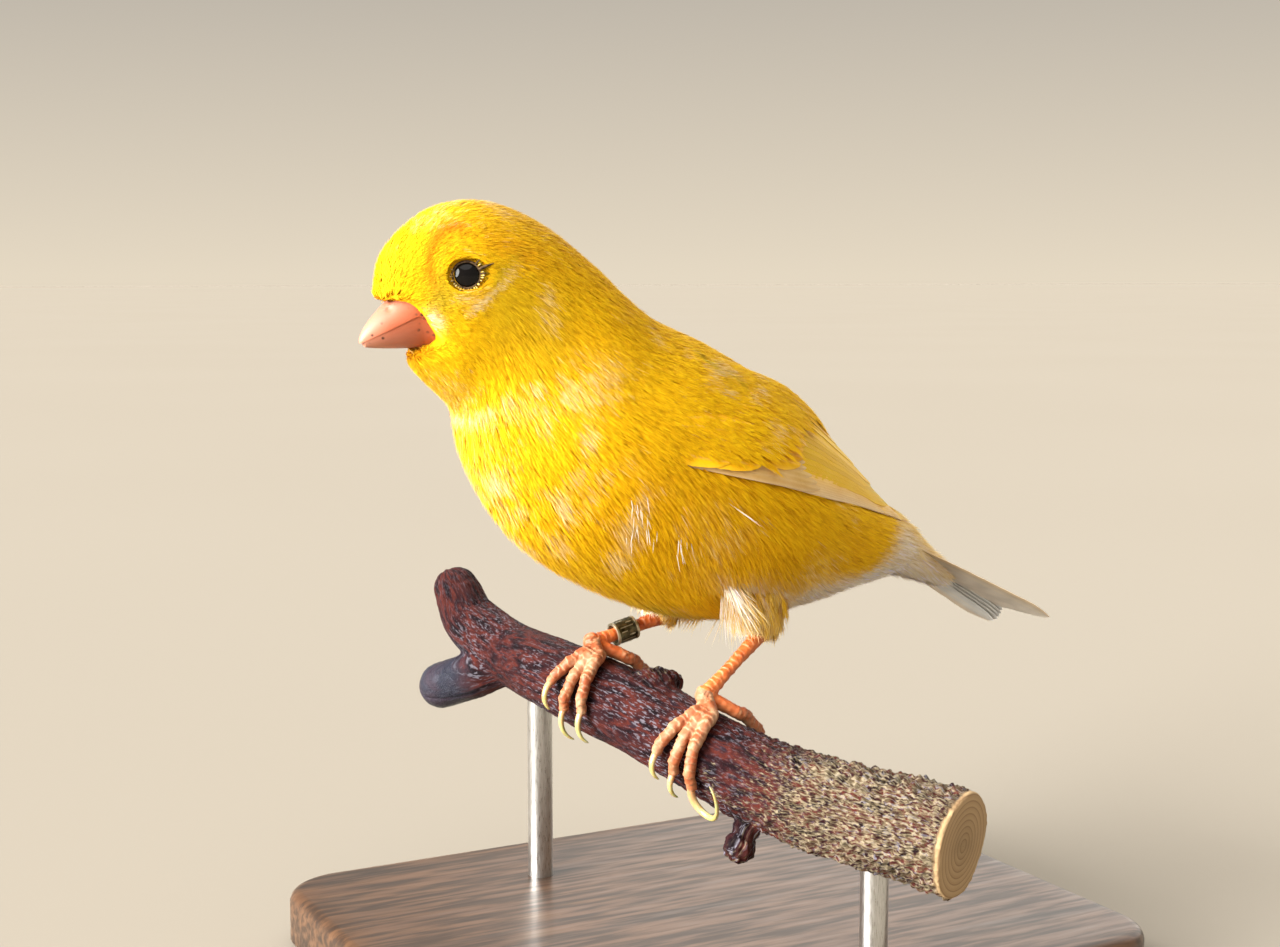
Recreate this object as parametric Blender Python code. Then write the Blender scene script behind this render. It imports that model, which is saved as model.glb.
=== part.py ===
"""A yellow canary, life size, gripping a cut length of branch on a plain display stand.

Units are metres and +Z is up. The bird faces -X and its left side faces -Y. The origin is the centre
of the underside of the stand's base. Body sizes are given from the middle of the torso.
"""

import math

import bmesh
import bpy
import numpy as np
from mathutils import Vector

TORSO = np.array([-0.008, 0.004, 0.083])
GAP = 0.0003

# The body from the bill back to the tail root: x and z of the ridge, x and z of the keel, half width.
BODY = np.array([
    (-0.0456, 0.0244, -0.0410, 0.0156, 0.0030),  # bill base
    (-0.0437, 0.0312, -0.0384, 0.0126, 0.0053),  # forehead
    (-0.0368, 0.0370, -0.0349, 0.0094, 0.0089),  # eye
    (-0.0286, 0.0383, -0.0328, 0.0070, 0.0104),  # crown
    (-0.0200, 0.0354, -0.0319, 0.0040, 0.0116),  # nape
    (-0.0117, 0.0295, -0.0306, -0.0010, 0.0138),  # neck
    (-0.0024, 0.0216, -0.0270, -0.0074, 0.0174),  # shoulder
    (0.0088, 0.0165, -0.0203, -0.0151, 0.0199),  # mantle
    (0.0200, 0.0098, -0.0086, -0.0220, 0.0206),  # middle of the back
    (0.0300, 0.0010, 0.0060, -0.0268, 0.0186),  # lower back
    (0.0395, -0.0074, 0.0210, -0.0268, 0.0134),  # rump
    (0.0485, -0.0144, 0.0370, -0.0240, 0.0076),  # tail root
])
HEAD_END = 4.6
NECK_END = 5.7
TORSO_END = 10.4
TAIL_ROOT_END = 11.0
RINGS_PER_STATION = 2
SEGMENTS = 28

BILL_TIP = np.array([-0.0478, 0.0, 0.0176])
BILL_PITCH = math.radians(20)
BILL_LENGTH = 0.0108
BILL_HALF_WIDTH = 0.0051
CULMEN_HEIGHT = 0.0062
GONYS_DEPTH = 0.0046
# The bill's half width, culmen height and gonys depth at its tip, and how fast each swells behind it.
BILL_TIP_SIZES = (0.0003, 0.0002, 0.0004)
BILL_SWELLS = (0.72, 0.62, 0.80)
# The line of the mouth: how far it rises and up to which part of the bill, then where, how far and how
# fast it drops to the gape.
MOUTH_RISE = 0.0011
MOUTH_CREST = 0.72
GAPE_START = 0.78
GAPE_DROP = 0.0042
GAPE_CURVE = 1.4
LEAST_HORN = 0.0003
# Where the face's feathers end round the bill: distance back from the tip, and height over its axis.
FEATHER_LINE = (
    (0.0046, 0.0049), (0.0064, 0.0050), (0.0080, 0.0037), (0.0089, 0.0016), (0.0096, -0.0014),
    (0.0106, -0.0036), (0.0098, -0.0048), (0.0070, -0.0046), (0.0050, -0.0040),
)
NOSTRIL_RADIUS = 0.00042
NOSTRIL_AT = (0.0049, 0.0021, 0.0036)

EYE = np.array([-0.0344, 0.0, 0.0275])
EYE_RADIUS = 0.0029
EYE_SHOWN = 0.0020
LID_THICKNESS = 0.00045
LID_SPREAD = 0.0006
EYE_STATION = 2.05
EYE_ANGLE = 66.0
EYE_FORWARD = -0.22
EYE_UPWARD = 0.10

# The folded wing on the body: station, then the angle down from the ridge of its lower and upper edges.
WING = np.array([
    (6.15, 104.0, 66.0),
    (7.00, 93.0, 40.0),
    (8.00, 81.0, 24.0),
    (9.00, 67.0, 15.0),
    (10.00, 51.0, 9.0),
    (11.00, 31.0, 12.0),
])
WING_THICKNESS = 0.0022
WING_BED_END = 9.2
WING_BED_TOP = -0.0010
POCKET_END = 11.2
POCKET_TOP = 0.004
VANE_THICKNESS = 0.0006
SHINGLE_TILT = math.tan(math.radians(10))
# A feather's web: where its rounding starts, how narrow its tip ends, and the part at its last two sections.
ROUND_START = 0.8
VANE_TIP_SHARE = 0.15
VANE_TIP_PARTS = (0.94, 1.0)
# How far from the wing's edges the feathers stop, and how much each differs from the next.
EDGE_MARGIN = 0.012
EDGE_STEP = 0.003
# Each tier of the wing, from its lowest feather to its highest: how many, the stations of the roots and
# of the tips, the places of both between the lower edge (0) and the upper (1), half width and height.
WING_TIERS = (
    (7, (6.7, 7.0), (10.97, 9.95), (0.05, 0.34), (0.16, 0.55), (0.0017, 0.0020), (-0.0013, -0.0012)),
    (5, (6.9, 7.2), (9.75, 9.35), (0.40, 0.70), (0.52, 0.72), (0.0023, 0.0025), (-0.0012, -0.0010)),
    (3, (7.1, 7.2), (9.75, 9.05), (0.74, 0.92), (0.72, 0.90), (0.0026, 0.0027), (-0.0010, -0.0009)),
    (8, (6.7, 7.0), (8.10, 8.00), (0.06, 0.92), (0.06, 0.90), (0.0018, 0.0020), (-0.0008, -0.0006)),
    (6, (6.5, 6.8), (7.45, 7.50), (0.10, 0.90), (0.09, 0.88), (0.0018, 0.0021), (-0.0005, -0.0003)),
)
SHOULDER_COVERTS = (6.25, 7.05)
SHOULDER_HEIGHTS = (-0.0001, -0.0012)
SHOULDER_INSET = 0.0004

TAIL_ROOT = np.array([0.0400, 0.0, -0.0140])
TAIL_TIP = np.array([0.0756, 0.0, -0.0330])
TAIL_HALF_WIDTH = 0.0115
TAIL_ROLL = math.radians(12)
TAIL_NOTCH = 0.0045
TAIL_PAIRS = 6
TAIL_STEP = 0.00026
TAIL_TILT = math.tan(math.radians(6))
TAIL_VANE_HALF_WIDTH = 0.0027
TAIL_COVERTS = 3
COVERT_HALF_WIDTH = 0.0021
TAIL_VANE_PARTS = (0.0, 0.35, 0.7, 0.9, 1.0)
# The cone of the rump's end: where it starts and how long it is, and its widths and depths at root and end.
CONE_START = 0.08
CONE_LENGTH = 0.49
CONE_WIDTHS = (0.0082, 0.0016)
CONE_DEPTHS = (0.0063, 0.0011)
CONE_SINK = 0.0010
CONE_RINGS = 8
CONE_SIDES = 16

# The branch's middle line from its broken upper end to the saw cut, with its radius.
BRANCH = np.array([
    (-0.0150, 0.0434, -0.0282, 0.0042),
    (-0.0136, 0.0394, -0.0334, 0.0048),
    (-0.0102, 0.0300, -0.0374, 0.0054),
    (-0.0085, 0.0170, -0.0385, 0.0060),
    (-0.0053, 0.0080, -0.0403, 0.0063),
    (-0.0010, -0.0020, -0.0433, 0.0065),
    (0.0035, -0.0120, -0.0466, 0.0066),
    (0.0086, -0.0230, -0.0497, 0.0068),
    (0.0139, -0.0345, -0.0514, 0.0072),
    (0.0196, -0.0460, -0.0525, 0.0076),
    (0.0226, -0.0520, -0.0532, 0.0078),
])
BRANCH_SIDES = 16
STUB_ROOT = np.array([-0.0100, 0.0300, -0.0385])
STUB_END = np.array([-0.0196, 0.0402, -0.0437])
STUB_RADIUS = 0.0040
TWIG_ROOT = np.array([0.0075, -0.0205, -0.0500])
TWIG_END = np.array([0.0034, -0.0222, -0.0588])
TWIG_RADIUS = 0.0021
TWIG_BEND = np.array([0.0008, 0.0, 0.0])
KNOB = np.array([0.0010, 0.0000, -0.0378])
KNOB_RADIUS = 0.0034
KNOB_SCALE = (1.5, 1.0, 0.8)
BRANCH_RINGS = 33
BRANCH_CAP_SHIFT = np.array([0.0, 0.0006, 0.0004])

# Each leg: side, heel, knuckle where the toes part, and the branch station under the foot.
LEGS = {
    "left": (-1, np.array([0.0148, -0.0100, -0.0288]), np.array([0.0033, -0.0120, -0.0374]), 6.0),
    "right": (1, np.array([0.0070, 0.0086, -0.0286]), np.array([-0.0060, 0.0084, -0.0318]), 4.0),
}
TARSUS_RADIUS = 0.0011
TOE_RADIUS = 0.00095
KNUCKLE_RADIUS = 0.00165
# The tarsus: parts of its length from the heel, and its thickness there beside its radius.
TARSUS_PARTS = (0.0, 0.12, 0.35, 0.7, 0.92, 1.0)
TARSUS_SWELLS = (1.25, 1.1, 0.95, 0.95, 1.2, 1.25)
# A toe's start round the branch, in front and behind, its clearance from the bark, and its pads.
TOE_STARTS = (18.0, -22.0)
TOE_CLEARANCE = 0.00035
TOE_PAD = 0.00025
CLAW_CLEARANCE = 0.00045
CLAW_BOW = 0.0013
CLAW_REACH = 0.0012
# The feathered thigh: its top from the heel, across and up, how far it comes down, and its radii.
THIGH_BACK = -0.0020
THIGH_ACROSS = 0.0098
THIGH_TOP = -0.0170
THIGH_END = 0.0016
THIGH_PARTS = (0.0, 0.3, 0.6, 0.85, 1.0)
THIGH_RADII = (0.0062, 0.0060, 0.0053, 0.0042, 0.0032, 0.0024)
# Each toe, the hind one first: its shift along the branch at its end, the angle that it wraps the bark to,
# and the radius and turn of its claw's curl.
TOES = {
    "left": (
        (0.0062, -96.0, 0.0075, 50.0),
        (-0.0040, 88.0, 0.0050, 46.0),
        (-0.0004, 102.0, 0.0050, 44.0),
        (0.0032, 110.0, 0.0025, 235.0),
    ),
    "right": (
        (0.0066, -94.0, 0.0070, 50.0),
        (-0.0042, 74.0, 0.0058, 42.0),
        (-0.0006, 100.0, 0.0050, 58.0),
        (0.0032, 92.0, 0.0050, 56.0),
    ),
}
RING_PLACE = 0.56
RING_HEIGHT = 0.0040
RING_INNER = 0.00150
RING_OUTER = 0.00195
RING_SIDES = 20

BASE_SIZE = (0.116, 0.090, 0.009)
BASE_CORNER = 0.010
BASE_EDGE = 0.0015
ROD_RADIUS = 0.0021
ROD_STATIONS = {"stand_rod_back": 2.6, "stand_rod_front": 8.4}


def clear_scene():
    for old in list(bpy.data.objects):
        bpy.data.objects.remove(old, do_unlink=True)


def material(name, colour, roughness, metallic=0.0):
    made = bpy.data.materials.new(name)
    made.use_nodes = True
    shader = made.node_tree.nodes["Principled BSDF"]
    shader.inputs["Base Color"].default_value = (*colour, 1.0)
    shader.inputs["Roughness"].default_value = roughness
    shader.inputs["Metallic"].default_value = metallic
    return made


def mesh_object(name, points, faces, finish=None):
    """An object of these points, in metres from the torso's middle, and faces, with its normals out."""
    mesh = bpy.data.meshes.new(name)
    mesh.from_pydata([tuple(point + TORSO) for point in points], [], faces)
    form = bmesh.new()
    form.from_mesh(mesh)
    bmesh.ops.recalc_face_normals(form, faces=form.faces)
    form.to_mesh(mesh)
    form.free()
    mesh.update()
    made = bpy.data.objects.new(name, mesh)
    bpy.context.scene.collection.objects.link(made)
    if finish:
        mesh.materials.append(finish)
    return made


def smooth(thing, angle=40):
    thing.data.shade_smooth()
    thing.data.set_sharp_from_angle(angle=math.radians(angle))


def spline(table, at):
    """The table's row at a station between its rows, on a smooth curve through them."""
    last = len(table) - 1
    index = min(max(int(at), 0), last - 1)
    part = at - index
    if not 0.0 <= at <= last:
        return table[index] + (table[index + 1] - table[index]) * part
    before = table[index - 1] if index > 0 else 2 * table[0] - table[1]
    after = table[index + 2] if index + 2 <= last else 2 * table[last] - table[last - 1]
    start, end = table[index], table[index + 1]
    return 0.5 * (
        2 * start
        + (end - before) * part
        + (2 * before - 5 * start + 4 * end - after) * part**2
        + (3 * start - before - 3 * end + after) * part**3
    )


def unit(vector):
    return vector / np.linalg.norm(vector)


def body_point(station, angle, side=-1, lift=0.0):
    """A point of the body's surface: angle 0 is the ridge of the back, 180 the keel."""
    ridge_x, ridge_z, keel_x, keel_z, half_width = spline(BODY, station)
    ridge = np.array([ridge_x, 0.0, ridge_z])
    keel = np.array([keel_x, 0.0, keel_z])
    middle = (ridge + keel) / 2
    upright = (ridge - keel) / 2
    height = np.linalg.norm(upright)
    turn = math.radians(angle)
    across = np.array([0.0, side * (half_width + lift) * math.sin(turn), 0.0])
    return middle + upright * (1 + lift / height) * math.cos(turn) + across


def body_normal(station, angle, side=-1):
    along = body_point(station + 0.05, angle, side) - body_point(station - 0.05, angle, side)
    round_it = body_point(station, angle + 1, side) - body_point(station, angle - 1, side)
    normal = unit(np.cross(along, round_it))
    outward = body_point(station, angle, side, 0.001) - body_point(station, angle, side)
    return normal if normal @ outward > 0 else -normal


def body_ring(station, lift=0.0, segments=SEGMENTS):
    return [body_point(station, 360 * k / segments, -1, lift) for k in range(segments)]


def tube_faces(rings, segments):
    """Faces of a closed tube of rings, each with this many points, with flat ends."""
    faces = []
    for ring in range(rings - 1):
        for k in range(segments):
            a = ring * segments + k
            b = ring * segments + (k + 1) % segments
            faces.append((a, b, b + segments, a + segments))
    faces.append(tuple(range(segments))[::-1])
    faces.append(tuple(range((rings - 1) * segments, rings * segments)))
    return faces


def body_length(name, start, end, finish, lift=0.0):
    """One length of the body, with its first ring set back by the gap that its neighbour keeps."""
    count = max(2, round((end - start) * RINGS_PER_STATION) + 1)
    rings = [body_ring(s, lift) for s in np.linspace(start, end, count)]
    if start > 0:
        first = np.array(rings[0])
        across = unit(first[0] - first[SEGMENTS // 2])
        back = np.cross(across, (0.0, 1.0, 0.0))
        back = back if back[0] > 0 else -back
        rings[0] = list(first + back * GAP)
    points = [point for ring in rings for point in ring]
    return mesh_object(name, points, tube_faces(count, SEGMENTS), finish)


def swept(name, path, radii, sides, finish=None):
    """A tube along a path with a radius at each point."""
    path = [np.asarray(point, float) for point in path]
    points = []
    reference = np.array([0.0, 0.0, 1.0])
    for i, point in enumerate(path):
        ahead = unit(path[min(i + 1, len(path) - 1)] - path[max(i - 1, 0)])
        sideways = np.cross(ahead, reference)
        if np.linalg.norm(sideways) < 0.2:
            sideways = np.cross(ahead, (0.0, 1.0, 0.0))
        sideways = unit(sideways)
        reference = unit(np.cross(sideways, ahead))
        for k in range(sides):
            turn = 2 * math.pi * k / sides
            points.append(
                point
                + sideways * radii[i] * math.cos(turn)
                + reference * radii[i] * math.sin(turn)
            )
    return mesh_object(name, points, tube_faces(len(path), sides), finish)


def ball(name, centre, radius, finish=None, segments=20, rings=12, scale=(1, 1, 1)):
    form = bmesh.new()
    bmesh.ops.create_uvsphere(form, u_segments=segments, v_segments=rings, radius=radius)
    mesh = bpy.data.meshes.new(name)
    form.to_mesh(mesh)
    form.free()
    for vertex in mesh.vertices:
        vertex.co = vertex.co * Vector(scale) + Vector(centre + TORSO)
    made = bpy.data.objects.new(name, mesh)
    bpy.context.scene.collection.objects.link(made)
    if finish:
        mesh.materials.append(finish)
    return made


def apply(target, operation, others):
    """Join the others to the target or cut them from it, and remove them."""
    group = bpy.data.collections.new("cutters")
    bpy.context.scene.collection.children.link(group)
    for other in others:
        bpy.context.scene.collection.objects.unlink(other)
        group.objects.link(other)
    modifier = target.modifiers.new("join", "BOOLEAN")
    modifier.operation = operation
    modifier.operand_type = "COLLECTION"
    modifier.collection = group
    modifier.solver = "EXACT"
    bpy.context.view_layer.update()
    graph = bpy.context.evaluated_depsgraph_get()
    made = bpy.data.meshes.new_from_object(target.evaluated_get(graph))
    target.modifiers.clear()
    target.data = made
    for other in others:
        bpy.data.objects.remove(other, do_unlink=True)
    bpy.data.collections.remove(group)
    keep_largest(target)
    return target


def keep_largest(target):
    """Keep only the largest closed surface of the mesh."""
    form = bmesh.new()
    form.from_mesh(target.data)
    form.faces.ensure_lookup_table()
    left = set(form.faces)
    islands = []
    while left:
        start = left.pop()
        island = {start}
        reached = [start]
        while reached:
            for edge in reached.pop().edges:
                for face in edge.link_faces:
                    if face in left:
                        left.discard(face)
                        island.add(face)
                        reached.append(face)
        islands.append(island)
    islands.sort(key=lambda island: sum(face.calc_area() for face in island))
    spare = [face for island in islands[:-1] for face in island]
    bmesh.ops.delete(form, geom=spare, context="FACES")
    form.to_mesh(target.data)
    form.free()


def bill_frame(distance, across, height):
    """A point given by its distance back from the bill's tip, across, and above the bill's axis."""
    back = np.array([math.cos(BILL_PITCH), 0.0, math.sin(BILL_PITCH)])
    above = np.array([-math.sin(BILL_PITCH), 0.0, math.cos(BILL_PITCH)])
    return BILL_TIP + back * distance + above * height + np.array([0.0, across, 0.0])


def bill_sizes(part):
    """Half width, culmen height and gonys depth at a part of the bill's length from its tip."""
    full_sizes = (BILL_HALF_WIDTH, CULMEN_HEIGHT, GONYS_DEPTH)
    sizes = zip(BILL_TIP_SIZES, full_sizes, BILL_SWELLS)
    return [tip + (full - tip) * part**swell for tip, full, swell in sizes]


def mouth_line(part):
    """Height of the line of the mouth: it rises from the tip, then drops steeply to the gape."""
    rise = MOUTH_RISE * min(part / MOUTH_CREST, 1.0)
    drop = max(part - GAPE_START, 0.0) / (1.0 - GAPE_START)
    return rise - GAPE_DROP * drop**GAPE_CURVE


def bill_half(name, upper, finish, grow=0.0, sections=11, sides=12):
    """The upper or lower half of the bill as a closed loft from its tip, with a flat inner face."""
    parts = [(i / (sections - 1)) ** 1.3 for i in range(sections)]
    if not upper:
        parts = [0.05 + 0.95 * part for part in parts]
    rings = [(part, BILL_LENGTH * part) for part in parts]
    if grow:
        rings = [(parts[0], rings[0][1] - grow), *rings, (1.0, BILL_LENGTH + grow)]
    points = []
    for part, distance in rings:
        half_width, culmen, gonys = bill_sizes(part)
        line = mouth_line(part) + (GAP / 2 if upper else -GAP * 1.4)
        reach = max((culmen - line) if upper else (gonys + line), LEAST_HORN) + grow
        for k in range(sides + 1):
            turn = math.pi * k / sides
            ridge = math.sin(turn) ** 0.9
            across = (half_width + grow) * math.cos(turn) * (1.0 if upper else 0.94)
            height = line + (reach * ridge if upper else -reach * ridge)
            if grow and k in (0, sides):
                height += -grow if upper else grow
            points.append(bill_frame(distance, across, height))
    return mesh_object(name, points, tube_faces(len(rings), sides + 1), finish)


def make_head(plumage):
    head = body_length("head", 0.0, HEAD_END, plumage)
    lids = []
    sockets = []
    for side in (-1, 1):
        centre, outward = eye_seat(side)
        rim = centre + outward * math.sqrt(EYE_RADIUS**2 - EYE_SHOWN**2)
        lids.append(ring_object(f"lid{side}", rim, outward, EYE_SHOWN + LID_SPREAD, LID_THICKNESS))
        sockets.append(ball(f"socket{side}", centre, EYE_RADIUS + GAP, segments=14, rings=9))
    apply(head, "UNION", lids)
    seats = [bill_half("seat_u", True, None, GAP), bill_half("seat_l", False, None, GAP)]
    apply(head, "DIFFERENCE", sockets + seats + [face_cutter()])
    smooth(head)


def face_cutter():
    """A block that trims the face back to its feather line, so that the bill stands out to the gape."""
    outline = [(-0.0030, FEATHER_LINE[0][1]), *FEATHER_LINE, (-0.0030, FEATHER_LINE[-1][1])]
    points = [bill_frame(a, y, h) for y in (-0.013, 0.013) for a, h in outline]
    return mesh_object("face_cutter", points, tube_faces(2, len(outline)))


def eye_seat(side):
    """The eyeball's centre, sunk so that only its dome stands out, and the way the eye looks."""
    surface = body_point(EYE_STATION, EYE_ANGLE, side)
    target = np.array([EYE[0], surface[1], EYE[2]])
    outward = unit(np.array([EYE_FORWARD, side, EYE_UPWARD]))
    sunk = math.sqrt(EYE_RADIUS**2 - EYE_SHOWN**2)
    return target - outward * sunk, outward


def ring_object(name, centre, axis, major, minor, finish=None, segments=16, sides=6):
    first = unit(np.cross(axis, (0.0, 0.0, 1.0)))
    second = np.cross(axis, first)
    points = []
    faces = []
    for i in range(segments):
        turn = 2 * math.pi * i / segments
        radial = first * math.cos(turn) + second * math.sin(turn)
        for k in range(sides):
            roll = 2 * math.pi * k / sides
            points.append(centre + radial * (major + minor * math.cos(roll)) + axis * minor * math.sin(roll))
            a, b = i * sides + k, i * sides + (k + 1) % sides
            c, d = ((i + 1) % segments) * sides + k, ((i + 1) % segments) * sides + (k + 1) % sides
            faces.append((a, b, d, c))
    return mesh_object(name, points, faces, finish)


def make_eyes(finish):
    for side, name in ((-1, "eye_left"), (1, "eye_right")):
        centre, _ = eye_seat(side)
        smooth(ball(name, centre, EYE_RADIUS, finish, segments=14, rings=9), 180)


def make_bill(finish):
    upper = bill_half("bill_upper", True, finish)
    distance, across, height = NOSTRIL_AT
    nostrils = []
    for side in (-1, 1):
        middle = bill_frame(distance, side * across, height)
        nostrils.append(ball(f"nostril{side}", middle, NOSTRIL_RADIUS, segments=8, rings=6))
    apply(upper, "DIFFERENCE", nostrils)
    smooth(upper)
    smooth(bill_half("bill_lower", False, finish))


def slab(name, top, bottom, finish=None):
    """A closed sheet between two like grids of points, split into triangles alike on both faces."""
    rows, row = len(top), len(top[0])
    layer = rows * row
    points = [point for grid in (top, bottom) for line in grid for point in line]
    faces = []
    for i in range(rows - 1):
        for k in range(row - 1):
            a, b, c, d = i * row + k, i * row + k + 1, (i + 1) * row + k + 1, (i + 1) * row + k
            faces += [(a, b, c), (a, c, d)]
            faces += [(a + layer, c + layer, b + layer), (a + layer, d + layer, c + layer)]
    border = [k for k in range(row)]
    border += [i * row + row - 1 for i in range(1, rows)]
    border += [(rows - 1) * row + k for k in range(row - 2, -1, -1)]
    border += [i * row for i in range(rows - 2, 0, -1)]
    for a, b in zip(border, border[1:] + border[:1]):
        faces.append((a, b, b + layer, a + layer))
    return mesh_object(name, points, faces, finish)


def wing_edges(station):
    """The wing's lower and upper edges at a station, as angles down from the ridge."""
    lower = np.interp(station, WING[:, 0], WING[:, 1])
    upper = np.interp(station, WING[:, 0], WING[:, 2])
    return lower, upper


def wing_slab(name, side, top, bottom, start, end, grow=0.0, across=8, along=14):
    """A stretch of the folded wing's region of the body, between two heights over that surface."""
    spare = math.degrees(grow / 0.012)
    grids = []
    for height in (top, bottom):
        grid = []
        for station in np.linspace(start, end, along):
            lower, upper = wing_edges(station)
            angles = np.linspace(upper - spare, lower + spare, across + 1)
            grid.append([lifted(station, angle, side, height) for angle in angles])
        grids.append(grid)
    return slab(name, grids[0], grids[1])


def lifted(station, angle, side, height):
    """A point this high over the body's surface, straight out from it."""
    return body_point(station, angle, side) + body_normal(station, angle, side) * height


def wing_pocket(side):
    """The space that a wing lies in, open outwards."""
    grow = GAP * 1.5
    start = WING[0, 0] - 0.05
    return wing_slab(f"pocket{side}", side, POCKET_TOP, -WING_THICKNESS - GAP, start, POCKET_END, grow)


def rounding(part, length):
    """How wide a feather still is near its rounded tip, from 1 down to almost 0."""
    if part < ROUND_START:
        return 1.0
    return math.sqrt(max(1.0 - ((part - ROUND_START) / length) ** 2, 0.0))


def wing_vane(name, side, root, tip, places, half_width, height, number):
    """One feather of the folded wing, from root to tip station, tilted so that it laps the one below."""
    grids = []
    body_parts = np.linspace(0.0, 0.82, 2 + int((tip - root) * 1.4))
    for level in (VANE_THICKNESS / 2, -VANE_THICKNESS / 2):
        grid = []
        for part in [*body_parts, *VANE_TIP_PARTS]:
            station = root + (tip - root) * part
            lower, upper = wing_edges(station)
            span = math.radians(lower - upper) * np.linalg.norm(
                body_point(station, lower - 20, side) - body_point(station, 180 + lower - 20, side)
            ) / 2
            place = places[0] + (places[1] - places[0]) * part**1.3
            taper = rounding(part, 0.21)
            reach = half_width * (VANE_TIP_SHARE + (1.0 - VANE_TIP_SHARE) * taper) / span
            margin = EDGE_MARGIN + EDGE_STEP * (number % 5)
            low = max(place - reach, margin)
            high = min(place + reach, 1.0 - margin)
            row = []
            for at in (low, (low + high) / 2, high):
                lean = (place - at) * span * SHINGLE_TILT
                angle = lower + (upper - lower) * at
                row.append(lifted(station, angle, side, height + lean + level))
            grid.append(row)
        grids.append(grid)
    return slab(name, grids[0], grids[1])


def make_wing(name, side, finish):
    """The arm and shoulder coverts as a bed, with the flight feathers and coverts rooted in it."""
    wing = wing_slab(name, side, WING_BED_TOP, -WING_THICKNESS, WING[0, 0], WING_BED_END)
    wing.data.materials.append(finish)
    start, end = SHOULDER_COVERTS
    vanes = [wing_slab("shoulder", side, *SHOULDER_HEIGHTS, start, end, -SHOULDER_INSET, 5, 5)]
    number = 0
    for count, roots, tips, root_places, tip_places, half_widths, heights in WING_TIERS:
        for k in range(count):
            part = k / (count - 1)
            root, tip, half_width, height = (
                pair[0] + (pair[1] - pair[0]) * part for pair in (roots, tips, half_widths, heights)
            )
            places = [pair[0] + (pair[1] - pair[0]) * part for pair in (root_places, tip_places)]
            tip -= 0.04 * (k % 2)
            vanes.append(wing_vane(f"vane{number}", side, root, tip, places, half_width, height, number))
            number += 1
    apply(wing, "UNION", vanes)
    smooth(wing, 30)


def make_torso(plumage):
    body_length("neck", HEAD_END, NECK_END, plumage)
    smooth(bpy.data.objects["neck"])
    torso = body_length("torso", NECK_END, TORSO_END, plumage)
    apply(torso, "DIFFERENCE", [wing_pocket(-1), wing_pocket(1)])
    smooth(torso)


def tail_point(part, across, height):
    """A point of the tail: part of its length from the root, across it, and over its sheet."""
    axis = unit(TAIL_TIP - TAIL_ROOT)
    sideways = np.array([0.0, math.cos(TAIL_ROLL), -math.sin(TAIL_ROLL)])
    above = unit(np.cross(axis, sideways))
    above = above if above[2] > 0 else -above
    length = np.linalg.norm(TAIL_TIP - TAIL_ROOT)
    return TAIL_ROOT + axis * length * part + sideways * across + above * height


def make_tail(plumage):
    """The rump's end and coverts as a cone, with the fan of tail feathers as one sheet."""
    tail = body_length("tail", TORSO_END, TAIL_ROOT_END, plumage, -WING_THICKNESS - 2 * GAP)
    rings = []
    for i in range(CONE_RINGS):
        part = i / (CONE_RINGS - 1)
        width = CONE_WIDTHS[1] + (CONE_WIDTHS[0] - CONE_WIDTHS[1]) * (1 - part) ** 0.5
        depth = CONE_DEPTHS[1] + (CONE_DEPTHS[0] - CONE_DEPTHS[1]) * (1 - part) ** 0.6
        for k in range(CONE_SIDES):
            turn = 2 * math.pi * k / CONE_SIDES
            height = depth * math.sin(turn) - CONE_SINK
            rings.append(tail_point(CONE_START + CONE_LENGTH * part, width * math.cos(turn), height))
    cone = mesh_object("cone", rings, tube_faces(CONE_RINGS, CONE_SIDES))
    apply(tail, "UNION", [cone] + tail_vanes())
    apply(tail, "DIFFERENCE", [wing_pocket(-1), wing_pocket(1)])
    smooth(tail, 30)


def tail_vanes():
    """The fan of tail feathers, the middle pair on top, with short coverts over and under its roots."""
    vanes = []
    for side in (-1, 1):
        for k in range(TAIL_PAIRS):
            part = (k + 0.5) / TAIL_PAIRS
            tip = 1.0 - TAIL_NOTCH * (1 - part) ** 1.2 / 0.038
            offset = (0.0007 + 0.0012 * part, (TAIL_HALF_WIDTH - TAIL_VANE_HALF_WIDTH) * part**0.9)
            height = -TAIL_STEP * k + (0.00012 if side > 0 else 0.0)
            vanes.append(tail_vane(f"tail{side}{k}", side, 0.04, tip, offset, height, TAIL_VANE_HALF_WIDTH))
        for k in range(TAIL_COVERTS):
            offset = (0.0012 + 0.0010 * k, 0.0010 + 0.0019 * k)
            reach = 0.50 - 0.06 * k
            over = 0.0007 - 0.0003 * k + 0.0001 * side
            vanes.append(tail_vane(f"over{side}{k}", side, 0.10, reach, offset, over, COVERT_HALF_WIDTH))
            under = -0.0024 + 0.0001 * (k + side)
            end = reach + 0.08
            vanes.append(tail_vane(f"under{side}{k}", side, 0.02, end, offset, under, COVERT_HALF_WIDTH))
    return vanes


def tail_vane(name, side, start, end, offset, height, half_width):
    """One tail feather, its outer edge raised over the next one out."""
    grids = []
    for level in (VANE_THICKNESS / 2, -VANE_THICKNESS / 2):
        grid = []
        for part in TAIL_VANE_PARTS:
            at = start + (end - start) * part
            spread = offset[0] + (offset[1] - offset[0]) * at
            taper = rounding(part, 0.205)
            reach = half_width * (0.55 + 0.45 * min(part / 0.5, 1.0)) * (0.18 + 0.82 * taper)
            row = []
            for across in (-reach, 0.0, reach):
                lean = across * TAIL_TILT
                row.append(tail_point(at, side * (spread + across), height + lean + level))
            grid.append(row)
        grids.append(grid)
    return slab(name, grids[0], grids[1])


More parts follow.
